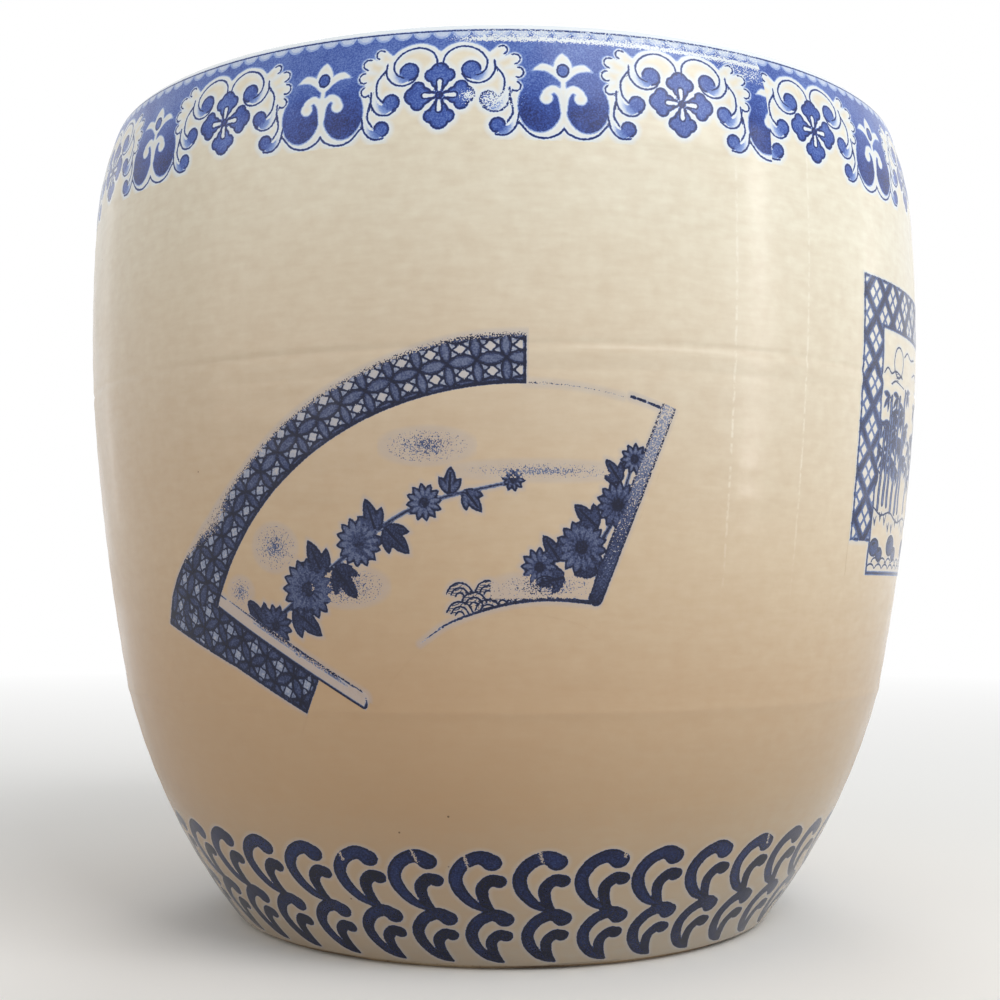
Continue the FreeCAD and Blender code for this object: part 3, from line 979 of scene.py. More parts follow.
def build_rim_border():
    half = FLOWER_PITCH / 2
    full = flat_repeat("rim_full", -half, half)
    first = flat_repeat("rim_first", -half, RIGHT_CUT)
    last = flat_repeat("rim_last", -LEFT_CUT, half)
    pieces = []
    for strip in range(2):
        for index, flat in enumerate([first] + [full] * (FLOWERS - 2) + [last]):
            mesh = copy_of(flat, f"rim_print_{strip * FLOWERS + index + 1}")
            azimuth = FIRST_FLOWER - index * FLOWER_PITCH + 180 * strip
            lay_on_wall(mesh, azimuth, BORDER_REACH, bare_edge=BORDER_LOW)
            # The wear stored on this strip holds a painted highlight and painted glints as well as real wear.
            if strip == 0:
                store_wear(mesh, rim_wear_and_glare)
            pieces.append(add_piece(mesh, "rim_border_print"))
    return pieces


rim_border = build_rim_border()
report(rim_border[1])

# %% [markdown]
# ## Foot border
#
# Two rows of hooked scrolls stand above the foot. One pair is drawn as tapering brush strokes, and every
# plate carries four pairs. The plate is measured along the slanting wall, so the hooks keep their height.
# The same transfer is used ten times, so it is drawn once and copied.

# %% Drawing the hooks
HOOKS = 40
HOOKS_ON_PLATE = 4
FOOT_REACH = 122.0
HOOK_PITCH = 2 * math.pi * FOOT_REACH / HOOKS
FOOT_PRINT_LOW = 0.8
FOOT_PRINT_HIGH = 51.8
HOOK_HEIGHT = 24
ROW_RISE = 23.6
HOOK_JITTER = 0.35
JITTER_TURN = 5
HOOK_RIM = 0.5
MAIN_HOOK = (
    (-3.1, 22.4), (-5.2, 23.9), (-7.6, 24.0), (-11.6, 21.5), (-14.3, 16.4), (-13.6, 11.0), (-10.3, 5.9),
    (-6.6, 3.3), (-3.4, 2.1),
)
MAIN_WIDTHS = [2.7, 2.5, 2.15, 1.95, 1.85, 1.9, 1.5, 0.9, 0.2]
MAIN_HEAD = (-3.0, 22.3)
MAIN_HEAD_RADIUS = 2.85
INNER_HOOK = ((-2.5, 14.8), (-4.8, 15.3), (-7.2, 12.8), (-7.6, 10.0), (-6.4, 6.0), (-3.8, 2.4))
INNER_WIDTHS = [2.1, 1.95, 1.8, 1.7, 1.35, 0.35]
INNER_HEAD_RADIUS = 2.2
INNER_TONE = 1.0
ROWS = (
    {"slide": -0.2, "rise": ROW_RISE, "inner_slide": 2.0, "tip_slide": 0.9, "wash": 0.80},
    {"slide": 4.1, "rise": 0.0, "inner_slide": 0.0, "tip_slide": 0.0, "wash": 0.86},
)


def placed(corners, across, up, tip_slide):
    """Moves a hook to its place. Its tip may be drawn a little further to the right than its head."""
    return [(x + across + tip_slide * (1 - y / HOOK_HEIGHT), y + up) for x, y in corners]


def draw_foot_plate(across, up):
    art = Print(across, up)
    for row in ROWS:
        for index in range(-2, HOOKS_ON_PLATE + 2):
            start = (index + 1 - HOOKS_ON_PLATE / 2) * HOOK_PITCH + row["slide"]
            start += HOOK_JITTER * math.sin(JITTER_TURN * (index % HOOKS_ON_PLATE) + row["rise"])
            main = placed(MAIN_HOOK, start, row["rise"], row["tip_slide"])
            art.stroke(main, MAIN_WIDTHS, row["wash"], rim=HOOK_RIM)
            head = (start + MAIN_HEAD[0], row["rise"] + MAIN_HEAD[1])
            art.disc(head, MAIN_HEAD_RADIUS, row["wash"], rim=HOOK_RIM)
            inner = placed(INNER_HOOK, start + row["inner_slide"], row["rise"], -row["tip_slide"])
            art.stroke(inner, INNER_WIDTHS, INNER_TONE)
            art.disc(inner[0], INNER_HEAD_RADIUS, INNER_TONE)
    return art


# %% Laying the foot border
FOLDS = (
    (-24.0, 38.5, 43.0), (-12.8, 39.5, 45.0), (-5.7, 37.5, 45.0), (4.8, 40.0, 46.0), (16.8, 41.0, 46.5),
    (26.8, 41.5, 47.0), (43.0, 40.0, 46.0), (63.0, 40.0, 45.0),
)
FOLD_LEAN = 0.14
FOLD_WIDTH = 0.19
FOLD_DEPTH = 1.3
FOLD_END = 0.5


def foot_wear(azimuth, height):
    """Thin bare lines where the wet transfer was folded, each at an azimuth, from one height to another."""
    wear = np.zeros(len(azimuth))
    for at, low, high in FOLDS:
        within = unit((height - low) / FOLD_END) * unit((high - height) / FOLD_END)
        wear += FOLD_DEPTH * within * hump(azimuth, at + FOLD_LEAN * (high - height), FOLD_WIDTH)
    return unit(wear)


def build_foot_border():
    pieces = []
    plates = HOOKS // HOOKS_ON_PLATE
    half = HOOKS_ON_PLATE * HOOK_PITCH / 2
    flat = upright_plate("foot_print", -half, half, FOOT_PRINT_LOW, FOOT_PRINT_HIGH)
    store_print(flat, draw_foot_plate)
    for index in range(plates):
        mesh = copy_of(flat, f"foot_print_{index + 1}")
        lay_on_wall(mesh, 360 / plates * index, FOOT_REACH, height_along, bare_edge=FOOT_PRINT_HIGH)
        store_wear(mesh, foot_wear)
        pieces.append(add_piece(mesh, "foot_border_print"))
    return pieces


foot_border = build_foot_border()
report(foot_border[0])

# %% [markdown]
# ## Fan panel
#
# The panel has the shape of an opened fan: two sticks, an inner arc, and outside its left half a strip of
# interlaced circles that turns down beside the left stick. The leaf carries a spray of chrysanthemums over
# water, a common subject on such ware.

# %% Measures of the fan
PANEL_REACH = 165.0
PIVOT = (6.6, 62.5)
LEAF_INNER = 57.0
LEAF_OUTER = 126.6
LEAF_OUTER_BARE = 129.5
STRIP_MIDDLE = 135.0
STRIP_EDGE_ANGLES = [98, 111, 124, 133, 138, 142, 147, 150, 153, 156, 160]
STRIP_EDGE = [142.2, 140.9, 140.6, 140.3, 141.2, 142.4, 145.4, 147.6, 149.9, 151.2, 151.4]
STRIP_RIGHT = 90.0
RIGHT_STICK = 69.2
LEFT_STICK = 151.6
LEFT_TURN = math.radians(LEFT_STICK)
OUTER_ARC = 127.0
INNER_ARC = [(-27.4, 110.4), (-17.3, 116.9), (-1.0, 122.2), (14.0, 124.1), (28.5, 123.3)]


def on_fan(reach, angle):
    """A place on the leaf: so far from the pivot, at such an angle."""
    return polar(PIVOT, reach, math.radians(angle))


def by_stick(along, aside):
    """A place by the left stick: so far along from the pivot, and so far aside towards the leg."""
    return polar(polar(PIVOT, along, LEFT_TURN), aside, LEFT_TURN + math.pi / 2)


# %% Interlaced circles
STRIP_CELL = (9.1, 7.6)
LEG_CELL = (8.4, 8.4)
STRIP_PHASE = -2.8
PETAL_SHARE = 0.22
CIRCLE_TONE = 0.52
CIRCLE_RIM = 0.55
DIAMOND_SHARE = 0.56
DIAMOND_FILL = 0.9
DIAMOND_TONE = 0.1
BETWEEN_TONE = 0.28
NOTCH_SHARE = 0.45
THIN_SOLID = 0.12


def draw_circles(along, across, cell, shade):
    """Interlaced circles: dark petals from crossing to crossing, and a pale diamond in every cell."""
    half = (cell[0] / 2, cell[1] / 2)
    art = Print(np.abs((along + half[0]) % cell[0] - half[0]), np.abs((across + half[1]) % cell[1] - half[1]))
    wide, high = half[0] * DIAMOND_SHARE, half[1] * DIAMOND_SHARE
    in_diamond = (half[0] - art.across) / wide + (half[1] - art.up) / high < DIAMOND_FILL
    for tip, length in (((cell[0], 0), cell[0]), ((0, cell[1]), cell[1])):
        chosen, inside = art.leaf_field((0, 0), tip, length * PETAL_SHARE)
        art.area(chosen, inside, CIRCLE_TONE, 0.0, rim=CIRCLE_RIM)
        art.border(chosen, inside)
    cell_tone = np.where(in_diamond, DIAMOND_TONE, BETWEEN_TONE)
    art.tone = np.where(art.solid < 0, cell_tone, art.tone) + shade
    art.solid = np.maximum(art.solid, THIN_SOLID)
    corners = ((-1, 0), (-NOTCH_SHARE, -NOTCH_SHARE), (0, -1), (NOTCH_SHARE, -NOTCH_SHARE), (1, 0))
    art.line([(half[0] + wide * x, half[1] + high * y) for x, y in corners], curved=False)
    return art


# %% Chrysanthemums, leaves and water
RING_LENGTH_SHARES = (1.0, 0.66)
RING_WIDTH_SHARES = (0.17, 0.13)
EYE_SHARE = 0.2
PETAL_LINE = 0.3
INNER_RING_DARKER = 0.2
LOBE_TURNS = (0, -0.62, 0.62)
LOBE_LENGTH_SHARES = (1.0, 0.72, 0.72)
LOBE_WIDTH_SHARE = 0.2
LOBE_LINE = 0.4
MIDRIB_SHARE = 0.8
MIDRIB_WIDTHS = [0.28, 0.12]
STEM_WIDTHS = [0.75, 0.55, 0.3]
STEM_TONE = 0.9
STEM_EDGE = 0.4
WATER_ROW_SHARE = 0.62
WATER_RISE = 0.7
SCALE_ARC_SHARES = (0.95, 0.62, 0.3)
SCALE_TURNS = np.radians(np.linspace(18, 162, 6))


def draw_blossom(art, centre, radius, petals, tone):
    """A flower head seen from the front: two rings of narrow petals round a dark eye."""
    for ring, (share, width_share) in enumerate(zip(RING_LENGTH_SHARES, RING_WIDTH_SHARES)):
        for index in range(petals):
            turn = 2 * math.pi * (index + 0.5 * ring) / petals + centre[0]
            base = polar(centre, radius * EYE_SHARE, turn)
            tip = polar(centre, radius * share, turn)
            art.leaf(base, tip, radius * width_share, tone + INNER_RING_DARKER * ring, rim=PETAL_LINE)
    art.disc(centre, radius * EYE_SHARE, 1.0)


def draw_leaf(art, base, turn, length, tone):
    """A cut leaf of three pointed lobes with a bare midrib."""
    for side, share in zip(LOBE_TURNS, LOBE_LENGTH_SHARES):
        tip = polar(base, length * share, turn + side)
        art.leaf(base, tip, length * share * LOBE_WIDTH_SHARE, tone, rim=LOBE_LINE)
    art.bare_stroke([base, polar(base, length * MIDRIB_SHARE, turn)], MIDRIB_WIDTHS)


def draw_spray(art, stem, blossoms, leaves):
    art.stroke(stem, STEM_WIDTHS, STEM_TONE, STEM_EDGE)
    for leaf in leaves:
        draw_leaf(art, *leaf)
    for blossom in blossoms:
        draw_blossom(art, *blossom)


def draw_water(art, start, columns, rows, size):
    """Rows of wave scales, each of three arcs."""
    for row in range(rows):
        for column in range(columns - row % 2):
            across = start[0] + size * (column * 2 + row % 2)
            up = start[1] + size * row * WATER_ROW_SHARE + column * WATER_RISE
            for share in SCALE_ARC_SHARES:
                art.arc_line((across, up), size * share, SCALE_TURNS)


# %% The fan's leaf
# A cloud has its middle, its half sizes and its density.
CLOUDS = (
    ((-24, 170.5), (13, 5), 0.62), ((-30, 172), (6, 2.8), 0.75), ((-78, 140), (8, 7), 0.6),
    ((-94, 126), (5, 4.4), 0.5), ((12, 163), (24, 2.4), 0.5), ((-52, 128), (13, 6), 0.62),
    ((14, 128), (15, 4), 0.62),
)
# A blossom has its middle, its radius, its number of petals and its tone. A leaf has the place where it
# starts, its direction in radians, its length and its tone.
SPRAYS = (
    {
        "stem": [(-93, 110), (-74, 121), (-52, 137), (-28, 152), (4, 160)],
        "blossoms": (
            ((-66, 127), 9.5, 16, 0.62), ((-47, 141.5), 7.6, 14, 0.58), ((-80, 115.5), 6.6, 13, 0.66),
            ((-25, 153.5), 5.6, 12, 0.5), ((3, 160.5), 3.6, 10, 0.45),
        ),
        "leaves": (
            ((-84, 114), 2.2, 12, 0.85), ((-72, 121), -0.7, 13, 0.9), ((-60, 131), 2.0, 12, 0.8),
            ((-56, 134), -0.9, 13, 0.9), ((-41, 145), 1.9, 10, 0.75), ((-38, 146), -0.8, 11, 0.85),
            ((-17, 156), 1.5, 8, 0.6), ((-12, 157), -0.9, 8, 0.65), ((-50, 140), 0.2, 12, 0.85),
        ),
    },
    {
        "stem": [(34, 126), (30, 138), (36, 150), (41, 166)],
        "blossoms": (
            ((25, 140), 8.2, 15, 0.6), ((36.5, 153), 7.0, 14, 0.6), ((11.5, 134), 5.8, 12, 0.55),
            ((41.5, 167), 4.6, 11, 0.5),
        ),
        "leaves": (
            ((31, 133), 2.7, 11, 0.9), ((31, 130), 0.7, 9, 0.85), ((30, 146), 2.4, 10, 0.85),
            ((38, 146), 0.5, 7, 0.8), ((18, 136), 2.2, 9, 0.8), ((37, 160), 2.2, 8, 0.75),
            ((20, 131), -2.9, 10, 0.85),
        ),
    },
)
WATER = {"start": (-14, 119), "columns": 4, "rows": 3, "size": 4.6}


def draw_fan_leaf(across, up):
    art = Print(across, up)
    for cloud in CLOUDS:
        art.sponged(*cloud)
    for spray in SPRAYS:
        draw_spray(art, **spray)
    draw_water(art, **WATER)
    draw_right_stick(art)
    draw_left_stick(art)
    draw_arcs(art)
    return art


# %% Sticks and arcs
STICK_SPAN = (66.4, 128.5)
STICK_TONE = 0.85
STICK_PALER = 0.55
STICK_RIM = 0.25
STICK_WEAR = 0.5
RIGHT_HALF = 2.2
LEFT_HALF = 2.5
LEFT_ENDS = (63, 127)
LEFT_ASIDE = -0.4
LEFT_BARE = 0.4
BARE_TONE = 0.04
WORN_LINES = (
    ((68, 90, 112), -1.8, [0.3, 0.9, 0.3], 0.5, 0.45),
    ((64, 95, 127), -2.6, [0.3, 0.6, 0.25], 1.0, 0.3),
)
LOW_CORNERS = ((62.0, -1.4), (61.0, 0.1), (63, 1.8), (80, 1.8), (127, 1.8))
LOW_SIDE = [by_stick(along, aside) for along, aside in LOW_CORNERS]
LOW_SIDE_WIDTHS = [0.2, 0.5, 0.6, 0.55, 0.5]
INNER_ARC_WIDTHS = [0.15, 0.35, 0.5, 0.6, 0.7]
INNER_ARC_TONE = 0.95
DASH_OUT = 0.8
DASH_WIDTHS = [0.5, 0.4]
DASH_TONE = 0.9
WORN_ARC_WIDTHS = [0.15, 0.15, 0.4]
WORN_ARC_WEAR = 0.75
OUTER_DASHES = ((70.5, 72.2), (72.8, 73.9), (74.3, 75.0))
WORN_ARC = (76, 80, 85, 90)


def draw_right_stick(art):
    """Hides what lies beyond the sticks and the inner arc, then draws the stick, which wears off upwards."""
    turned = np.arctan2(art.up - PIVOT[1], art.across - PIVOT[0])
    reach = np.hypot(art.up - PIVOT[1], art.across - PIVOT[0])
    arc_up = np.interp(art.across, [point[0] for point in INNER_ARC], [point[1] for point in INNER_ARC])
    beside_right = (turned - math.radians(RIGHT_STICK)) * reach
    art.hide_outside(least(beside_right, art.up - arc_up, (LEFT_TURN - turned) * reach))
    low, high = [on_fan(reach, RIGHT_STICK) for reach in STICK_SPAN]
    chosen, inside = art.stroke_field([low, high], [RIGHT_HALF, RIGHT_HALF])
    share = unit((art.up[chosen] - low[1]) / (high[1] - low[1]))
    tone = STICK_TONE - STICK_PALER * share
    art.area(chosen, inside, tone, 1.0, rim=STICK_RIM, wear=STICK_WEAR * share)


def draw_left_stick(art):
    """A nearly bare stick with two worn lines on its upper side and a thick one round its lower side."""
    ends = [by_stick(along, LEFT_ASIDE) for along in LEFT_ENDS]
    chosen, inside = art.stroke_field(ends, [LEFT_HALF, LEFT_HALF])
    art.clear(chosen, inside + LEFT_BARE)
    art.area(chosen, np.minimum(inside, THIN_SOLID), BARE_TONE, 0.0)
    for places, aside, widths, tone, wear in WORN_LINES:
        art.stroke([by_stick(along, aside) for along in places], widths, tone, 0.0, wear=wear)
    art.stroke(LOW_SIDE, LOW_SIDE_WIDTHS, 1.0, 0.0)


def draw_arcs(art):
    """The inner arc, and the dashes and specks that are left of the outer one."""
    art.stroke(INNER_ARC, INNER_ARC_WIDTHS, INNER_ARC_TONE, 0.0)
    for first, last in OUTER_DASHES:
        dash = [on_fan(OUTER_ARC + DASH_OUT, angle) for angle in np.linspace(first, last, 3)]
        art.stroke(dash, DASH_WIDTHS, DASH_TONE, 0.0)
    worn_arc = [on_fan(OUTER_ARC, angle) for angle in WORN_ARC]
    art.stroke(worn_arc, WORN_ARC_WIDTHS, DASH_TONE, 0.0, wear=WORN_ARC_WEAR)


# %% Strip and leg
LEG_LOW = 79.5
LEG_HIGH = 152.0
LEG_INNER = 2.1
LEG_OUTER = 21.7
LEG_EDGE_ALONG = [80.7, 111.6, 149.9]
LEG_EDGE = [14.2, 15.8, 21.0]
LEG_SHADE = 0.2
LEG_BAND = 0.9
LEG_INSET = 0.1
LEG_END_INSET = 0.4
STRIP_SHADES = ((10, 110), (LEG_SHADE, 0.0))
STRIP_BAND = 0.7
STRIP_RAGGED = 1.7
STRIP_WHOLE = 0.6
STRIP_WHOLE_REACH = 3
STRIP_EDGE_WEAR = 0.95
STRIP_PATCH_REACH = 6
STRIP_PATCH_WEAR = 1.2
STRIP_PATCH = (142, 3.5)
MITRE_START = (128.5, 0.0)
MITRE_END = (149.9, 21.0)


def draw_strip(across, up):
    """The strip's pattern, bent round the pivot, with a ragged outer edge where the transfer did not take."""
    reach = np.hypot(across - PIVOT[0], up - PIVOT[1])
    angle = np.degrees(np.arctan2(up - PIVOT[1], across - PIVOT[0]))
    along = np.radians(LEFT_STICK - angle) * STRIP_MIDDLE + STRIP_PHASE
    art = draw_circles(along, reach - OUTER_ARC, STRIP_CELL, np.interp(along, *STRIP_SHADES))
    to_edge = np.interp(angle, STRIP_EDGE_ANGLES, STRIP_EDGE) - reach
    end = np.radians(angle - STRIP_RIGHT) * STRIP_MIDDLE
    art.trim(least(reach - OUTER_ARC, to_edge, end), STRIP_BAND)
    off_corner = unit((LEFT_STICK - STRIP_WHOLE - angle) / STRIP_WHOLE_REACH)
    ragged = unit(1 - to_edge / STRIP_RAGGED) * off_corner
    patch = hump(angle, *STRIP_PATCH) * unit(1 - to_edge / STRIP_PATCH_REACH)
    art.wear = unit(STRIP_EDGE_WEAR * ragged + STRIP_PATCH_WEAR * patch)
    return art


def draw_leg(across, up):
    """The strip turns down beside the left stick. The two patterns meet on a slanting line, the mitre."""
    off_across, off_up = across - PIVOT[0], up - PIVOT[1]
    along = off_across * math.cos(LEFT_TURN) + off_up * math.sin(LEFT_TURN)
    aside = off_up * math.cos(LEFT_TURN) - off_across * math.sin(LEFT_TURN)
    slant = math.sqrt(0.5)
    leg = draw_circles((along + aside) * slant, (along - aside) * slant, LEG_CELL, LEG_SHADE)
    outer_edge = np.interp(along, LEG_EDGE_ALONG, LEG_EDGE) - aside
    inner_edge = aside - LEG_INNER - LEG_INSET
    leg.trim(least(inner_edge, outer_edge, along - LEG_LOW - LEG_END_INSET), LEG_BAND)
    mitre = (along - MITRE_START[0]) * (MITRE_END[1] - MITRE_START[1])
    mitre -= (aside - MITRE_START[1]) * (MITRE_END[0] - MITRE_START[0])
    leg.take(draw_strip(across, up), mitre > 0)
    return leg


# %% Laying the fan panels
STICK_LOW = 60.2
LEAF_RIGHT = 66.6
STRIP_START = 89.6
HALFWAY = 121
LEAF_LEFT = 150.7
STRIP_END = 152.55
STRIP_OUTER_RIGHT = 145.0
STRIP_OUTER_LEFT = 151.6


def polar_plate(name, inner, outer, first, last, draw):
    """A plate swept about the fan's pivot, between two radii and two angles in degrees."""
    steps = round(math.radians(last - first) * outer / ROW)
    ends = on_fan(inner, first), on_fan(outer, first)
    mesh = sweep_plate(name, *ends, steps, pivot=PIVOT, angle=last - first)
    store_print(mesh, draw)
    return mesh


def straight_plate(name, low, high, inner, outer, draw):
    """A straight plate by the left stick, from one place along it to another."""
    mesh = upright_plate(name, low, high, -outer, -inner)
    places = points_of(mesh)
    places[:, 0], places[:, 2] = by_stick(places[:, 0], -places[:, 2])
    move_points(mesh, places)
    mesh.flip_normals()
    store_print(mesh, draw)
    return mesh


def flat_fan():
    return [
        polar_plate("fan_leaf_1", LEAF_INNER, LEAF_OUTER_BARE, LEAF_RIGHT, STRIP_START, draw_fan_leaf),
        polar_plate("fan_leaf_2", LEAF_INNER, LEAF_OUTER, STRIP_START, HALFWAY, draw_fan_leaf),
        polar_plate("fan_leaf_3", LEAF_INNER, LEAF_OUTER, HALFWAY, LEAF_LEFT, draw_fan_leaf),
        straight_plate("fan_stick", STICK_LOW, LEAF_OUTER, -LEG_INNER, LEG_INNER, draw_fan_leaf),
        polar_plate("fan_strip_1", LEAF_OUTER, STRIP_OUTER_RIGHT, STRIP_START, HALFWAY, draw_strip),
        polar_plate("fan_strip_2", LEAF_OUTER, STRIP_OUTER_LEFT, HALFWAY, STRIP_END, draw_strip),
        straight_plate("fan_leg", LEG_LOW, LEG_HIGH, LEG_INNER, LEG_OUTER, draw_leg),
    ]


def lay_panel(flats, side, azimuth, node):
    """Lays a copy of every plate of a panel on one side of the pot."""
    pieces = []
    for flat in flats:
        mesh = copy_of(flat, f"{flat.name}_{side}")
        lay_on_wall(mesh, azimuth, PANEL_REACH)
        pieces.append(add_piece(mesh, node))
    return pieces


fan_plates = flat_fan()
fan_front = lay_panel(fan_plates, "front", 0, "fan_print_front")
fan_back = lay_panel(fan_plates, "back", 180, "fan_print_back")
for piece in fan_front:
    report(piece)

# %% [markdown]
# ## Framed panel
#
# At the side a picture field stands in front of a lattice of lozenges, which shows to its left and above it.
# The picture is bamboo by water, another common subject.

# %% Lozenge lattice
FRAME_LOW = 133.0
FRAME_WIDE = 80.0
FRAME_HIGH = 219.0
LATTICE = (-15.6, 68.0, 144.0, 235.0)
LOZENGE_WIDE = 15.1
LOZENGE_TALL = 15.5
LOZENGE_START = (-6.4, 221.4)
BAND_HALF = 1.15
BAND_TONE = 0.93
BAND_EDGE = 0.6
BAND_DARK_FROM = -0.3
BAND_DARK_REACH = 0.8
LATTICE_TONE = 0.52
BARE_SPOT_SHARE = 0.185
BARE_SIZE_SHARE = 0.13


def draw_lattice(art):
    """Dark diagonal bands, with four small bare lozenges in every opening."""
    cross = LOZENGE_WIDE * LOZENGE_TALL / math.hypot(LOZENGE_WIDE, LOZENGE_TALL)
    aside = (art.across - LOZENGE_START[0]) / LOZENGE_WIDE
    above = (art.up - LOZENGE_START[1]) / LOZENGE_TALL
    first = np.abs((aside + above) % 1 - 0.5)
    second = np.abs((aside - above) % 1 - 0.5)
    band = BAND_HALF - least(0.5 - first, 0.5 - second) * cross
    art.area(EVERYWHERE, np.ones(len(band)), LATTICE_TONE, 0.0)
    from_spot = np.maximum(np.abs(first - BARE_SPOT_SHARE), np.abs(second - BARE_SPOT_SHARE))
    art.clear(EVERYWHERE, (BARE_SIZE_SHARE - from_spot) * cross)
    art.area(EVERYWHERE, band, BAND_TONE, BAND_EDGE)
    darkened = np.maximum(art.tone, BAND_TONE * unit(band + BAND_DARK_REACH))
    art.tone = np.where(band > BAND_DARK_FROM, darkened, art.tone)


# %% Bamboo, rocks and water
MOON = ((17, 208), 5.5)
MOON_TURNS = np.radians(np.arange(0, 361, 30))
THIN_CLOUDS = (
    ((2, 203), (5, 205), (9, 203.4), (14, 204.6), (22, 203)),
    ((9, 199.6), (15, 201.2), (24, 199.6)),
    ((24, 211), (29, 213), (35, 211.4), (44, 212.6)),
    ((40, 206), (48, 207.6), (60, 206), (72, 207)),
)
# A cane has its place, its lean, its height and its half width.
CANES = (
    (4, 1, 30, 0.8), (8.5, 2, 38, 1.0), (13, -1, 33, 0.9), (18, 2, 41, 1.0), (24, 3, 34, 1.1),
    (29, -2, 44, 0.9), (41, 3, 28, 1.0), (56, -2, 40, 1.1), (62, 2, 46, 0.9), (70, -2, 34, 1.0),
)
CANE_FOOT = 156
CANE_FOOT_WAVE = 1.5
CANE_RIM = 0.3
JOINTS = 5
TWIGS_FROM_SHARE = 0.4
TWIG_STEP_SHARE = 0.14
JOINT_GAP = 0.45
CANE_TONE = 0.45
TWIG = (2.6, 1.8)
TWIG_LEAVES = ((0.1, 5.6), (-0.75, 6.8), (-1.35, 5.8))
TWIG_LEAF_HALF = 0.8
TWIG_LEAF_TONE = 0.92
TWIG_LEAF_EDGE = 0.5
BANK = ((0, 156), (8, 153.4), (18, 154.6), (30, 151.6), (44, 153.6), (60, 151), (80, 153))
GRASS_AT = range(3, 78, 5)
GRASS_FOOT = 149.5
GRASS_FOOT_WAVE = 2
GRASS_BLADES = ((-1.2, 2.4), (0.9, 2.8))
ROCKS = (
    ((5, 142), 4.4), ((11, 139.6), 3.4), ((24, 143), 5.2), ((31, 140), 3.6), ((52, 142.6), 4.8),
    ((60, 140), 3.4), ((73, 142), 4.2),
)
ROCK_LOOK = {"tone": 0.72, "squash": 0.7, "rim": 0.8}
ROCK_GLEAM_SHARES = (-0.5, 0.1)
ROCK_GLEAM_RISE = (1, 1.6)
ROCK_GLEAM_WIDTHS = [0.35, 0.2]
WAVE_ROWS = 2
WAVES_IN_ROW = 10
WAVE_ROW_RISE = 2.2
WAVE_START = (3.5, 134.2)
WAVE_PITCH = 8.4
WAVE_SIZE = (3.9, 2.0)
WAVE_TURNS = np.radians(np.linspace(20, 160, 5))


def draw_cane(art, foot, lean, high, half):
    """A jointed bamboo cane with a leafy twig at every joint, to one side and the other."""
    base = CANE_FOOT + CANE_FOOT_WAVE * math.sin(foot)

    def on_cane(up):
        return (foot + lean * (up - base) / high, up)

    for part in range(JOINTS):
        low = on_cane(base + high * part / JOINTS + JOINT_GAP)
        top = on_cane(base + high * (part + 1) / JOINTS - JOINT_GAP)
        art.stroke([low, top], [half, half], CANE_TONE, rim=CANE_RIM)
    for number in range(JOINTS):
        side = 1 if (number + round(foot)) % 2 else -1
        joint = on_cane(base + high * (TWIGS_FROM_SHARE + TWIG_STEP_SHARE * number))
        twig = (joint[0] + TWIG[0] * side, joint[1] + TWIG[1])
        art.line([joint, twig], curved=False)
        for turn, length in TWIG_LEAVES:
            tip = (twig[0] + side * length * math.cos(turn), twig[1] + length * math.sin(turn))
            art.leaf(twig, tip, TWIG_LEAF_HALF, TWIG_LEAF_TONE, TWIG_LEAF_EDGE)


def draw_bamboo(art):
    """A thicket of bamboo on a bank, a moon between thin clouds, and dark rocks and water in front."""
    art.arc_line(*MOON, MOON_TURNS)
    for corners in (*THIN_CLOUDS, BANK):
        art.line(corners)
    for cane in CANES:
        draw_cane(art, *cane)
    for foot in GRASS_AT:
        grass = GRASS_FOOT + GRASS_FOOT_WAVE * math.sin(foot)
        for aside, rise in GRASS_BLADES:
            art.line([(foot, grass), (foot + aside, grass + rise)], curved=False)
    for (across, up), radius in ROCKS:
        art.disc((across, up), radius, **ROCK_LOOK)
        gleam = zip(ROCK_GLEAM_SHARES, ROCK_GLEAM_RISE)
        art.bare_stroke([(across + radius * share, up + rise) for share, rise in gleam], ROCK_GLEAM_WIDTHS)
    for row in range(WAVE_ROWS):
        for column in range(WAVES_IN_ROW):
            across = WAVE_START[0] + WAVE_PITCH * (column + row / 2)
            up = WAVE_START[1] + WAVE_ROW_RISE * row
            ripple = [
                (across + WAVE_SIZE[0] * math.cos(turn), up + WAVE_SIZE[1] * math.sin(turn))
                for turn in WAVE_TURNS
            ]
            art.line(ripple)


# %% The frame
FRAME_LINE = 0.95
FRAME_LINE_TONE = 0.9
FRAME_LINE_EDGE = 0.4
FIELD_MARGIN = -0.2


def draw_frame(across, up):
    art = Print(across, up)
    draw_lattice(art)
    lattice = rectangle(across, up, *LATTICE)
    art.hide_outside(lattice)
    picture = Print(across, up)
    draw_bamboo(picture)
    field = rectangle(across, up, 0, FRAME_WIDE, FRAME_LOW, FRAME_HIGH)
    picture.hide_outside(field)
    art.take(picture, field > 0)
    outer = FRAME_LINE / 2 - np.abs(lattice - FRAME_LINE / 2)
    outer = np.where(field > FIELD_MARGIN, -FAR, outer)
    for inside in (FRAME_LINE / 2 - np.abs(field), outer):
        art.area(EVERYWHERE, inside, FRAME_LINE_TONE, FRAME_LINE_EDGE)
    return art


# %% Laying the framed panels
FRAME_AZIMUTH = 53.3
FRAME_COLUMNS = ((-16.4, 24), (24, 80.8))
FRAME_ROWS = ((132.2, 184), (184, 235.8))


def flat_frame():
    meshes = []
    for low, high in FRAME_ROWS:
        for left, right in FRAME_COLUMNS:
            mesh = upright_plate(f"frame_{len(meshes) + 1}", left, right, low, high)
            store_print(mesh, draw_frame)
            meshes.append(mesh)
    return meshes


frame_plates = flat_frame()
frame_right = lay_panel(frame_plates, "right", FRAME_AZIMUTH, "framed_print_right")
frame_left = lay_panel(frame_plates, "left", FRAME_AZIMUTH + 180, "framed_print_left")
for piece in frame_right:
    report(piece)

# %% [markdown]
# ## Materials
#
# Colours are written as a colour picker shows them and turned into the linear light that shaders work in.
# Patterns read Object coordinates, so the glaze runs on unbroken from the pot to every print that lies on it.

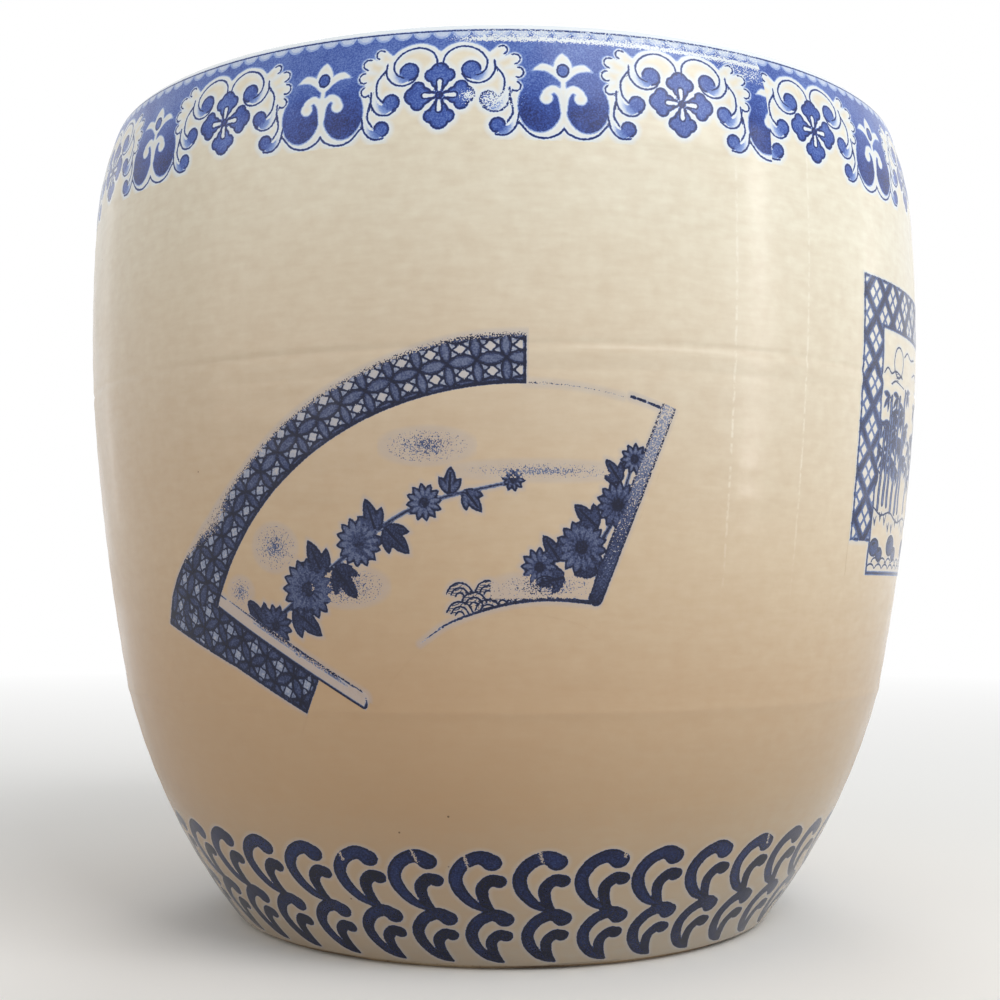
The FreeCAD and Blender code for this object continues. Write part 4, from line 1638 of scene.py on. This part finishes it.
# %% A helper for building materials
def srgb(red, green, blue):
    """A colour written in 0 to 255, as linear light."""
    def linear(value):
        value = value / 255
        return value / 12.92 if value <= 0.04045 else ((value + 0.055) / 1.055) ** 2.4
    return (linear(red), linear(green), linear(blue), 1.0)


class Finish:
    """A material, or a world, that is built node by node."""

    def __init__(self, name, owner=None):
        self.owner = owner or bpy.data.materials.new(name)
        self.owner.use_nodes = True
        self.tree = self.owner.node_tree
        self.tree.nodes.clear()
        self.place = self.add("ShaderNodeTexCoord").outputs["Object"]

    def add(self, kind, inputs=None, **settings):
        node = self.tree.nodes.new(kind)
        for name, value in settings.items():
            setattr(node, name, value)
        for socket, value in (inputs or {}).items():
            self.put(node.inputs[socket], value)
        return node

    def put(self, socket, value):
        if isinstance(value, bpy.types.NodeSocket):
            self.tree.links.new(value, socket)
        else:
            socket.default_value = value

    def maths(self, operation, first, second=0.0, clamp=False):
        node = self.add("ShaderNodeMath", {0: first, 1: second}, operation=operation, use_clamp=clamp)
        return node.outputs[0]

    def times(self, first, *others):
        for other in others:
            first = self.maths("MULTIPLY", first, other)
        return first

    def spread(self, value, low, high, to_low=0.0, to_high=1.0):
        """Maps a range of a value to another range, and holds it at the ends."""
        sockets = {"Value": value, "From Min": low, "From Max": high, "To Min": to_low, "To Max": to_high}
        return self.add("ShaderNodeMapRange", sockets).outputs["Result"]

    def noise(self, scale, detail=2.0, stretch=None):
        place = self.place
        if stretch:
            mapping = self.add("ShaderNodeMapping", {"Vector": place, "Scale": (1, 1, stretch)})
            place = mapping.outputs["Vector"]
        sockets = {"Vector": place, "Scale": scale, "Detail": detail}
        return self.add("ShaderNodeTexNoise", sockets).outputs["Fac"]

    def patches(self, noise, spread):
        return self.spread(self.noise(*noise), *spread)

    def height(self):
        return self.add("ShaderNodeSeparateXYZ", {"Vector": self.place}).outputs["Z"]

    def blend(self, share, first, second):
        node = self.add("ShaderNodeMix", data_type="RGBA")
        for index, value in ((0, share), (6, first), (7, second)):
            self.put(node.inputs[index], value)
        return node.outputs[2]

    def ramp(self, value, colours):
        """Turns a value into a colour, with a stop for each pair of a position and a colour."""
        node = self.add("ShaderNodeValToRGB", {"Fac": value})
        stops = node.color_ramp.elements
        for index, (position, colour) in enumerate(colours):
            stop = stops[index] if index < 2 else stops.new(position)
            stop.position = position
            stop.color = colour
        return node.outputs["Color"]

    def stored(self, name):
        return self.add("ShaderNodeAttribute", attribute_name=name).outputs["Fac"]

    def surface(self, **sockets):
        named = {key.replace("_", " "): value for key, value in sockets.items()}
        shader = self.add("ShaderNodeBsdfPrincipled", named)
        self.add("ShaderNodeOutputMaterial", {"Surface": shader.outputs["BSDF"]})
        return self.owner


# %% [markdown]
# ## Cream glaze
#
# The glaze is a warm off-white that has speckled a little in the kiln. It is paler and bluer on the lip,
# where it is thin over white slip. Towards the foot it is darker, partly toasted and partly painted shade,
# and its left side, at negative X, is tinted warmer as painted warm light. Small dark pinholes are scattered
# over it, and two pale streaks ran down. The same steps are used under the prints. Heights and places in a
# material are in metres. Patches are given by the scale and the detail of a noise, and by the range of it
# that is mapped to a share.

# %% Colour of the glaze
CREAM = srgb(230, 226, 208)
CREAM_WARM = srgb(208, 192, 164)
# Toasted cream: the colour of the mottling, and also of the painted warm light on the left side.
CREAM_TOASTED_AND_WARM_LIT = srgb(170, 135, 99)
LIP_WHITE = srgb(226, 233, 238)
PINHOLE = srgb(84, 66, 52)
PINHOLE_SHARE = 0.8
PINHOLE_CELLS = 62.0
PINHOLE_SIZES = (0.6, 1.0, 0.0, 0.028)
STREAKS_AT = (26.3, 36.9)
STREAK = srgb(240, 236, 224)
STREAK_WIDTH = (0.001, 0.004, 0.36, 0.0)
STREAK_GAPS = ((500, 3), (0.42, 0.58))
STREAK_ABOVE = (0.12, 0.17)
GLAZE_TOP = 0.3
# Colour by height: partly toasting, partly painted shade that makes the glaze darker and greyer towards the
# foot.
GLAZE_TOAST_AND_SHADE_BY_HEIGHT = (
    (0.0, srgb(156, 152, 142)),
    (0.12, srgb(158, 146, 128)),
    (0.20, srgb(169, 147, 120)),
    (0.32, srgb(188, 165, 137)),
    (0.47, srgb(211, 196, 171)),
    (0.62, srgb(221, 212, 192)),
    (0.70, srgb(226, 219, 200)),
    (0.82, CREAM),
    (1.0, CREAM),
)
CLOUDY = ((11, 3), (0.35, 0.68, 0.0, 0.22))
BRUSHED = ((120, 5, 4), (0.34, 0.68, 0.0, 0.12))
SPECKLED = ((210, 5), (0.3, 0.7, 0.0, 0.14))
# Painted warm light: the left side, at negative X, is tinted warmer at mid height.
WARM_LIGHT_ACROSS = (0.12, -0.02, 0.0, 0.5)
WARM_LIGHT_BELOW = (0.28, 0.17, 0.12, 1.0)
WARM_LIGHT_ABOVE = (0.01, 0.06, 0.5, 1.0)
LIP_START = (0.2996, 0.3012)


def glaze_colour(finish):
    """Cream: toasted and painted shade towards the foot, painted warm light at the left; mottling, streaks,
    pinholes.
    """
    parts = finish.add("ShaderNodeSeparateXYZ", {"Vector": finish.place})
    height = parts.outputs["Z"]
    # Darker towards the foot: partly toasting, partly painted shade.
    colour = finish.ramp(finish.spread(height, 0.0, GLAZE_TOP), GLAZE_TOAST_AND_SHADE_BY_HEIGHT)
    colour = finish.blend(finish.patches(*CLOUDY), colour, CREAM_WARM)
    # Painted warm light on the left side.
    painted_warm_light = finish.times(
        finish.spread(parts.outputs["X"], *WARM_LIGHT_ACROSS), finish.spread(height, *WARM_LIGHT_BELOW),
        finish.spread(height, *WARM_LIGHT_ABOVE),
    )
    colour = finish.blend(painted_warm_light, colour, CREAM_TOASTED_AND_WARM_LIT)
    for pattern in (BRUSHED, SPECKLED):
        colour = finish.blend(finish.patches(*pattern), colour, CREAM_TOASTED_AND_WARM_LIT)
    azimuth = finish.maths("ARCTAN2", parts.outputs["X"], finish.times(parts.outputs["Y"], -1.0))
    for at in STREAKS_AT:
        off = finish.maths("ABSOLUTE", finish.maths("SUBTRACT", azimuth, math.radians(at)))
        above = finish.spread(height, *STREAK_ABOVE)
        share = finish.times(finish.spread(off, *STREAK_WIDTH), finish.patches(*STREAK_GAPS), above)
        colour = finish.blend(share, colour, STREAK)
    colour = finish.blend(finish.spread(height, *LIP_START), colour, LIP_WHITE)
    cells = finish.add("ShaderNodeTexVoronoi", {"Vector": finish.place, "Scale": PINHOLE_CELLS})
    chosen = finish.add("ShaderNodeSeparateColor", {"Color": cells.outputs["Color"]}).outputs["Red"]
    size = finish.spread(chosen, *PINHOLE_SIZES)
    dot = finish.maths("LESS_THAN", cells.outputs["Distance"], size)
    return finish.blend(finish.times(dot, PINHOLE_SHARE), colour, PINHOLE)


# %% Surface of the glaze
GLOSS = 0.3
ROUGHNESS = ((35, 3), (0.35, 0.65, 0.16, 0.27))
PEEL = (330, 2)
RUNNING = (75, 2, 0.06)
RUNNING_SHARE = 1.8
PEEL_STRENGTH = 0.35
PEEL_DEPTH = 0.00012


def glaze_surface(finish, colour):
    """Gives a finish the gloss and the small unevenness of the glaze, over a colour."""
    uneven = finish.maths("ADD", finish.noise(*PEEL), finish.times(finish.noise(*RUNNING), RUNNING_SHARE))
    bump = {"Height": uneven, "Strength": PEEL_STRENGTH, "Distance": PEEL_DEPTH}
    return finish.surface(
        Base_Color=colour, Roughness=finish.patches(*ROUGHNESS), Specular_IOR_Level=GLOSS,
        Normal=finish.add("ShaderNodeBump", bump).outputs["Normal"],
    )


cream = Finish("cream_glaze")
outer_coat.data.materials.append(glaze_surface(cream, glaze_colour(cream)))
print("cream glaze:", len(cream.tree.nodes), "nodes")

# %% [markdown]
# ## Cobalt print under the glaze
#
# The print reads the stored distances. Areas, outlines and lines are worked out one by one, made a little
# ragged with noise, and the strongest wins. Cobalt bleeds into the glaze, so a pale blue haze lies round the
# marks. The prints came from different inks: a clear blue under the lip, a deep navy at the foot, which is
# also painted darker as shade, and two slate blues on the panels.

# %% The inks
def ink(*colours):
    """The colours of an ink, from its thinnest wash to its darkest line."""
    return [(stop, srgb(*colour)) for stop, colour in zip((0.0, 0.3, 0.58, 0.8, 1.0), colours)]


RIM_INK = ink((182, 198, 226), (116, 142, 200), (56, 83, 160), (34, 52, 118), (20, 28, 66))
# Navy ink, made darker still as painted shade at the foot.
FOOT_INK_AND_SHADE = ink((140, 156, 188), (68, 86, 132), (29, 44, 88), (11, 20, 54), (7, 9, 28))
PANEL_INK = ink((192, 196, 206), (116, 125, 151), (57, 67, 102), (28, 35, 64), (17, 20, 42))
FRAME_INK = ink((190, 200, 216), (106, 124, 162), (56, 76, 124), (28, 43, 86), (12, 19, 46))

# %% From distances to ink
RAGGED = ((1500, 1), (0.2, 0.8, -0.14, 0.14))
STIPPLE = ((1900, 2), (0.32, 0.66, 0.72, 1.1))
UNEVEN_INK = ((95, 3), (0.3, 0.7, 0.86, 1.1))
AREA_FADE = (-0.08, 0.12)
OUTLINE_FADE = (0.16, 0.44, 1.0, 0.0)
LINE_FADE = (0.16, 0.42, 1.0, 0.0)
LINE_TRUSTED = 0.57
MARK_TONE = 0.94
SPECK = ((2200, 2), (0.34, 0.66))
WORN_FROM = (1.0, 1.15)
HAZE_NEAR = 0.6
WORN_HAZE = (0.1, 0.4, 1.0)
FULL_INK = 0.22


def ink_strength(finish):
    """How much cobalt lies at each place, from 0 for none to 1 for the darkest line."""
    ragged = finish.patches(*RAGGED)
    solid = finish.maths("ADD", finish.stored("solid"), ragged)
    line = finish.maths("ABSOLUTE", finish.maths("ADD", finish.stored("line_side"), ragged))
    tone = finish.times(finish.stored("tone"), finish.patches(*STIPPLE), finish.patches(*UNEVEN_INK))
    area = finish.times(finish.spread(solid, *AREA_FADE), tone)
    outline = finish.spread(finish.maths("ABSOLUTE", solid), *OUTLINE_FADE)
    trusted = finish.maths("LESS_THAN", finish.stored("line_near"), LINE_TRUSTED)
    line = finish.times(finish.spread(line, *LINE_FADE), trusted)
    outline = finish.times(outline, finish.stored("edge"))
    marks = finish.times(finish.maths("MAXIMUM", outline, line), MARK_TONE)
    worn = finish.maths("ADD", finish.stored("wear"), finish.patches(*SPECK))
    worn = finish.spread(worn, *WORN_FROM)
    left = finish.maths("SUBTRACT", 1.0, worn)
    return finish.maths("MULTIPLY", finish.maths("MAXIMUM", area, marks), left, clamp=True)


def print_material(name, pieces, inks, haze, haze_share, haze_reach, haze_where_worn):
    """Ink over glaze, with a haze that reaches some millimetres from dense areas and lines."""
    finish = Finish(name)
    strength = ink_strength(finish)
    by_area = finish.spread(finish.stored("solid"), -haze_reach, -HAZE_NEAR, 0.0, haze_share)
    whole = finish.spread(finish.stored("wear"), *WORN_HAZE, haze_where_worn)
    by_line = finish.spread(finish.stored("line_near"), haze_reach, HAZE_NEAR, 0.0, haze_share)
    hazed = finish.maths("MAXIMUM", finish.times(by_area, whole), by_line)
    under = finish.blend(hazed, glaze_colour(finish), haze)
    colour = finish.blend(finish.spread(strength, 0.0, FULL_INK), under, finish.ramp(strength, inks))
    material = glaze_surface(finish, colour)
    for piece in pieces:
        piece.data.materials.append(material)
    print(name, len(finish.tree.nodes), "nodes")


HAZES = {
    "rim": {"haze": srgb(218, 226, 232), "haze_share": 0.85, "haze_reach": 2.3, "haze_where_worn": 1.0},
    "foot": {"haze": srgb(170, 176, 184), "haze_share": 0.25, "haze_reach": 2.0, "haze_where_worn": 1.0},
    "fan": {"haze": srgb(158, 160, 174), "haze_share": 0.32, "haze_reach": 1.8, "haze_where_worn": 0.75},
    "frame": {"haze": srgb(196, 204, 212), "haze_share": 0.4, "haze_reach": 2.0, "haze_where_worn": 0.0},
}
print_material("rim_print", rim_border, RIM_INK, **HAZES["rim"])
print_material("foot_print", foot_border, FOOT_INK_AND_SHADE, **HAZES["foot"])
print_material("fan_print", fan_front + fan_back, PANEL_INK, **HAZES["fan"])
print_material("frame_print", frame_right + frame_left, FRAME_INK, **HAZES["frame"])

# %% [markdown]
# ## Lip glaze and bare clay
#
# The lip has the same glaze, whiter. The inside and the foot are fired clay: matt, sandy, with iron specks.

# %% Lip glaze
LIP_PATCHES = ((60, 4), (0.35, 0.65))
LIP_WHITE_ABOVE = (0.290, 0.302)

lip = Finish("lip_glaze")
lip_tint = lip.blend(lip.patches(*LIP_PATCHES), LIP_WHITE, CREAM)
lip_tint = lip.blend(lip.spread(lip.height(), *LIP_WHITE_ABOVE), CREAM_WARM, lip_tint)
inner_coat.data.materials.append(glaze_surface(lip, lip_tint))

# %% Bare clay
CLAY_LIGHT = srgb(190, 170, 142)
CLAY_DARK = srgb(158, 134, 106)
CLAY_SPECK = srgb(94, 66, 48)
SOIL = srgb(96, 78, 62)
SAND = (900, 3)
SAND_DEPTH = 0.0003
SAND_STRENGTH = 0.7
SAND_SPECKS = (0.58, 0.75, 0.0, 0.7)
CLAY_PATCHES = ((24, 5), (0.3, 0.7))
STAIN_BY_HEIGHT = (0.12, 0.0, 0.0, 0.8)
STAIN_PATCHES = ((18, 4), (0.35, 0.6))
CLAY_ROUGHNESS = 0.86

clay = Finish("biscuit")
sand = clay.noise(*SAND)
stain = clay.times(clay.spread(clay.height(), *STAIN_BY_HEIGHT), clay.patches(*STAIN_PATCHES))
clay_tint = clay.blend(clay.patches(*CLAY_PATCHES), CLAY_LIGHT, CLAY_DARK)
clay_tint = clay.blend(clay.spread(sand, *SAND_SPECKS), clay_tint, CLAY_SPECK)
clay_tint = clay.blend(stain, clay_tint, SOIL)
sandy = {"Height": sand, "Strength": SAND_STRENGTH, "Distance": SAND_DEPTH}
clay_bump = clay.add("ShaderNodeBump", sandy).outputs["Normal"]
clay_material = clay.surface(Base_Color=clay_tint, Roughness=CLAY_ROUGHNESS, Normal=clay_bump)
lip_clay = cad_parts["rim_lip"]
lip_clay.data.materials.clear()
for piece in clay_walls + [floor_clay, foot_ring_clay, lip_clay]:
    piece.data.materials.append(clay_material)
print("clay and lip finishes done")

# %% [markdown]
# ## Floor, light and camera
#
# The pot stands on a plain pale floor in soft studio light: a broad lamp above and in front, a tall strip at
# the right whose reflection draws the long upright highlight, a broad warm lamp at the left, two narrow ones
# that draw thin highlights near the edges, and a broad one behind. Far from the pot, the floor fades into the
# white background. The camera stands where the fitted outline of the photograph puts it: 0.59 m from the
# pot's axis, low, and tilted up a little.

# %% Floor
WHITE = (1, 1, 1, 1)
FLOOR_PAINT = srgb(240, 240, 238)
FLOOR_SIZE = 6
FLOOR_ROUGHNESS = 0.9
FADE_FROM = 0.3
FADE_TO = 1.6


def seen_directly(finish):
    """1 for rays that show the background itself: from the camera, off gloss or through glass."""
    ray = finish.add("ShaderNodeLightPath")
    seen = finish.maths("MAXIMUM", ray.outputs["Is Camera Ray"], ray.outputs["Is Glossy Ray"])
    return finish.maths("MAXIMUM", seen, ray.outputs["Is Transmission Ray"])


def build_floor_stage():
    bm = bmesh.new()
    bmesh.ops.create_grid(bm, x_segments=1, y_segments=1, size=FLOOR_SIZE)
    floor = bpy.data.objects.new("studio_floor", finished_mesh("studio_floor", bm))
    bpy.context.scene.collection.objects.link(floor)
    finish = Finish("studio_floor")
    paint = finish.add("ShaderNodeBsdfPrincipled", {"Base Color": FLOOR_PAINT, "Roughness": FLOOR_ROUGHNESS})
    white = finish.add("ShaderNodeEmission", {"Color": WHITE, "Strength": 1.0})
    distance = finish.add("ShaderNodeVectorMath", {0: finish.place}, operation="LENGTH").outputs["Value"]
    share = finish.times(finish.spread(distance, FADE_FROM, FADE_TO), seen_directly(finish))
    mixed = finish.add("ShaderNodeMixShader", {0: share, 1: paint.outputs[0], 2: white.outputs[0]})
    finish.add("ShaderNodeOutputMaterial", {"Surface": mixed.outputs[0]})
    floor.data.materials.append(finish.owner)


build_floor_stage()

# %% World
SKY_LIGHT = 0.5
SKY_WHITE = 1.0

world = bpy.data.worlds.new("studio")
bpy.context.scene.world = world
sky = Finish("studio", world)
soft = sky.add("ShaderNodeBackground", {"Color": WHITE, "Strength": SKY_LIGHT})
white = sky.add("ShaderNodeBackground", {"Color": WHITE, "Strength": SKY_WHITE})
choice = sky.add("ShaderNodeMixShader", {0: seen_directly(sky), 1: soft.outputs[0], 2: white.outputs[0]})
sky.add("ShaderNodeOutputWorld", {"Surface": choice.outputs[0]})

# %% Lamps
NEUTRAL = (1, 1, 1)
WARM = (1.0, 0.93, 0.84)
LAMPS = (
    {"name": "top_lamp", "place": (0.75, -0.95, 1.25), "aim": 0.2, "size": (1.0, 0.9), "power": 12.6},
    {"name": "strip_lamp", "place": (1.22, -0.6, 0.42), "aim": 0.18, "size": (0.12, 0.8), "power": 2.5},
    {"name": "edge_lamp", "place": (1.15, 0.35, 0.35), "aim": 0.15, "size": (0.06, 0.5), "power": 0.25},
    {"name": "left_lamp", "place": (-1.3, -0.8, 0.6), "aim": 0.15, "size": (1.1, 1.0), "power": 3.2,
     "tint": WARM},
    {"name": "left_edge_lamp", "place": (-1.15, 0.95, 0.45), "aim": 0.15, "size": (0.1, 0.7), "power": 0.15},
    {"name": "back_lamp", "place": (0, 1.7, 1.1), "aim": 0.15, "size": (0.9, 0.9), "power": 7},
)


def add_lamp(name, place, aim, size, power, tint=NEUTRAL):
    """A rectangular lamp at a place in metres, turned towards a height on the pot's axis."""
    data = bpy.data.lights.new(name, "AREA")
    data.shape = "RECTANGLE"
    data.size, data.size_y = size
    data.energy = power
    data.color = tint
    lamp = bpy.data.objects.new(name, data)
    bpy.context.scene.collection.objects.link(lamp)
    lamp.location = place
    tilt = math.atan2(math.hypot(place[0], place[1]), place[2] - aim)
    lamp.rotation_euler = (tilt, 0, math.atan2(place[1], place[0]) + math.pi / 2)


for lamp in LAMPS:
    add_lamp(**lamp)
print("lamps:", [light.name for light in bpy.data.lights])

# %% Camera
CAMERA_DISTANCE = 0.5876
CAMERA_HEIGHT = 0.1283
TILT_UP = 0.0603
TURN_LEFT = 0.0023
ROLL = -0.0025
SENSOR = 36
LENS_SHARE = 1.418

camera_data = bpy.data.cameras.new("camera")
camera_data.sensor_width = SENSOR
camera_data.lens = LENS_SHARE * SENSOR
camera = bpy.data.objects.new("camera", camera_data)
bpy.context.scene.collection.objects.link(camera)
camera.location = (0, -CAMERA_DISTANCE, CAMERA_HEIGHT)
camera.rotation_euler = (math.pi / 2 + TILT_UP, ROLL, TURN_LEFT)
bpy.context.scene.camera = camera
bpy.context.scene.view_settings.view_transform = "Standard"
print(f"camera lens {camera_data.lens:.1f} mm")
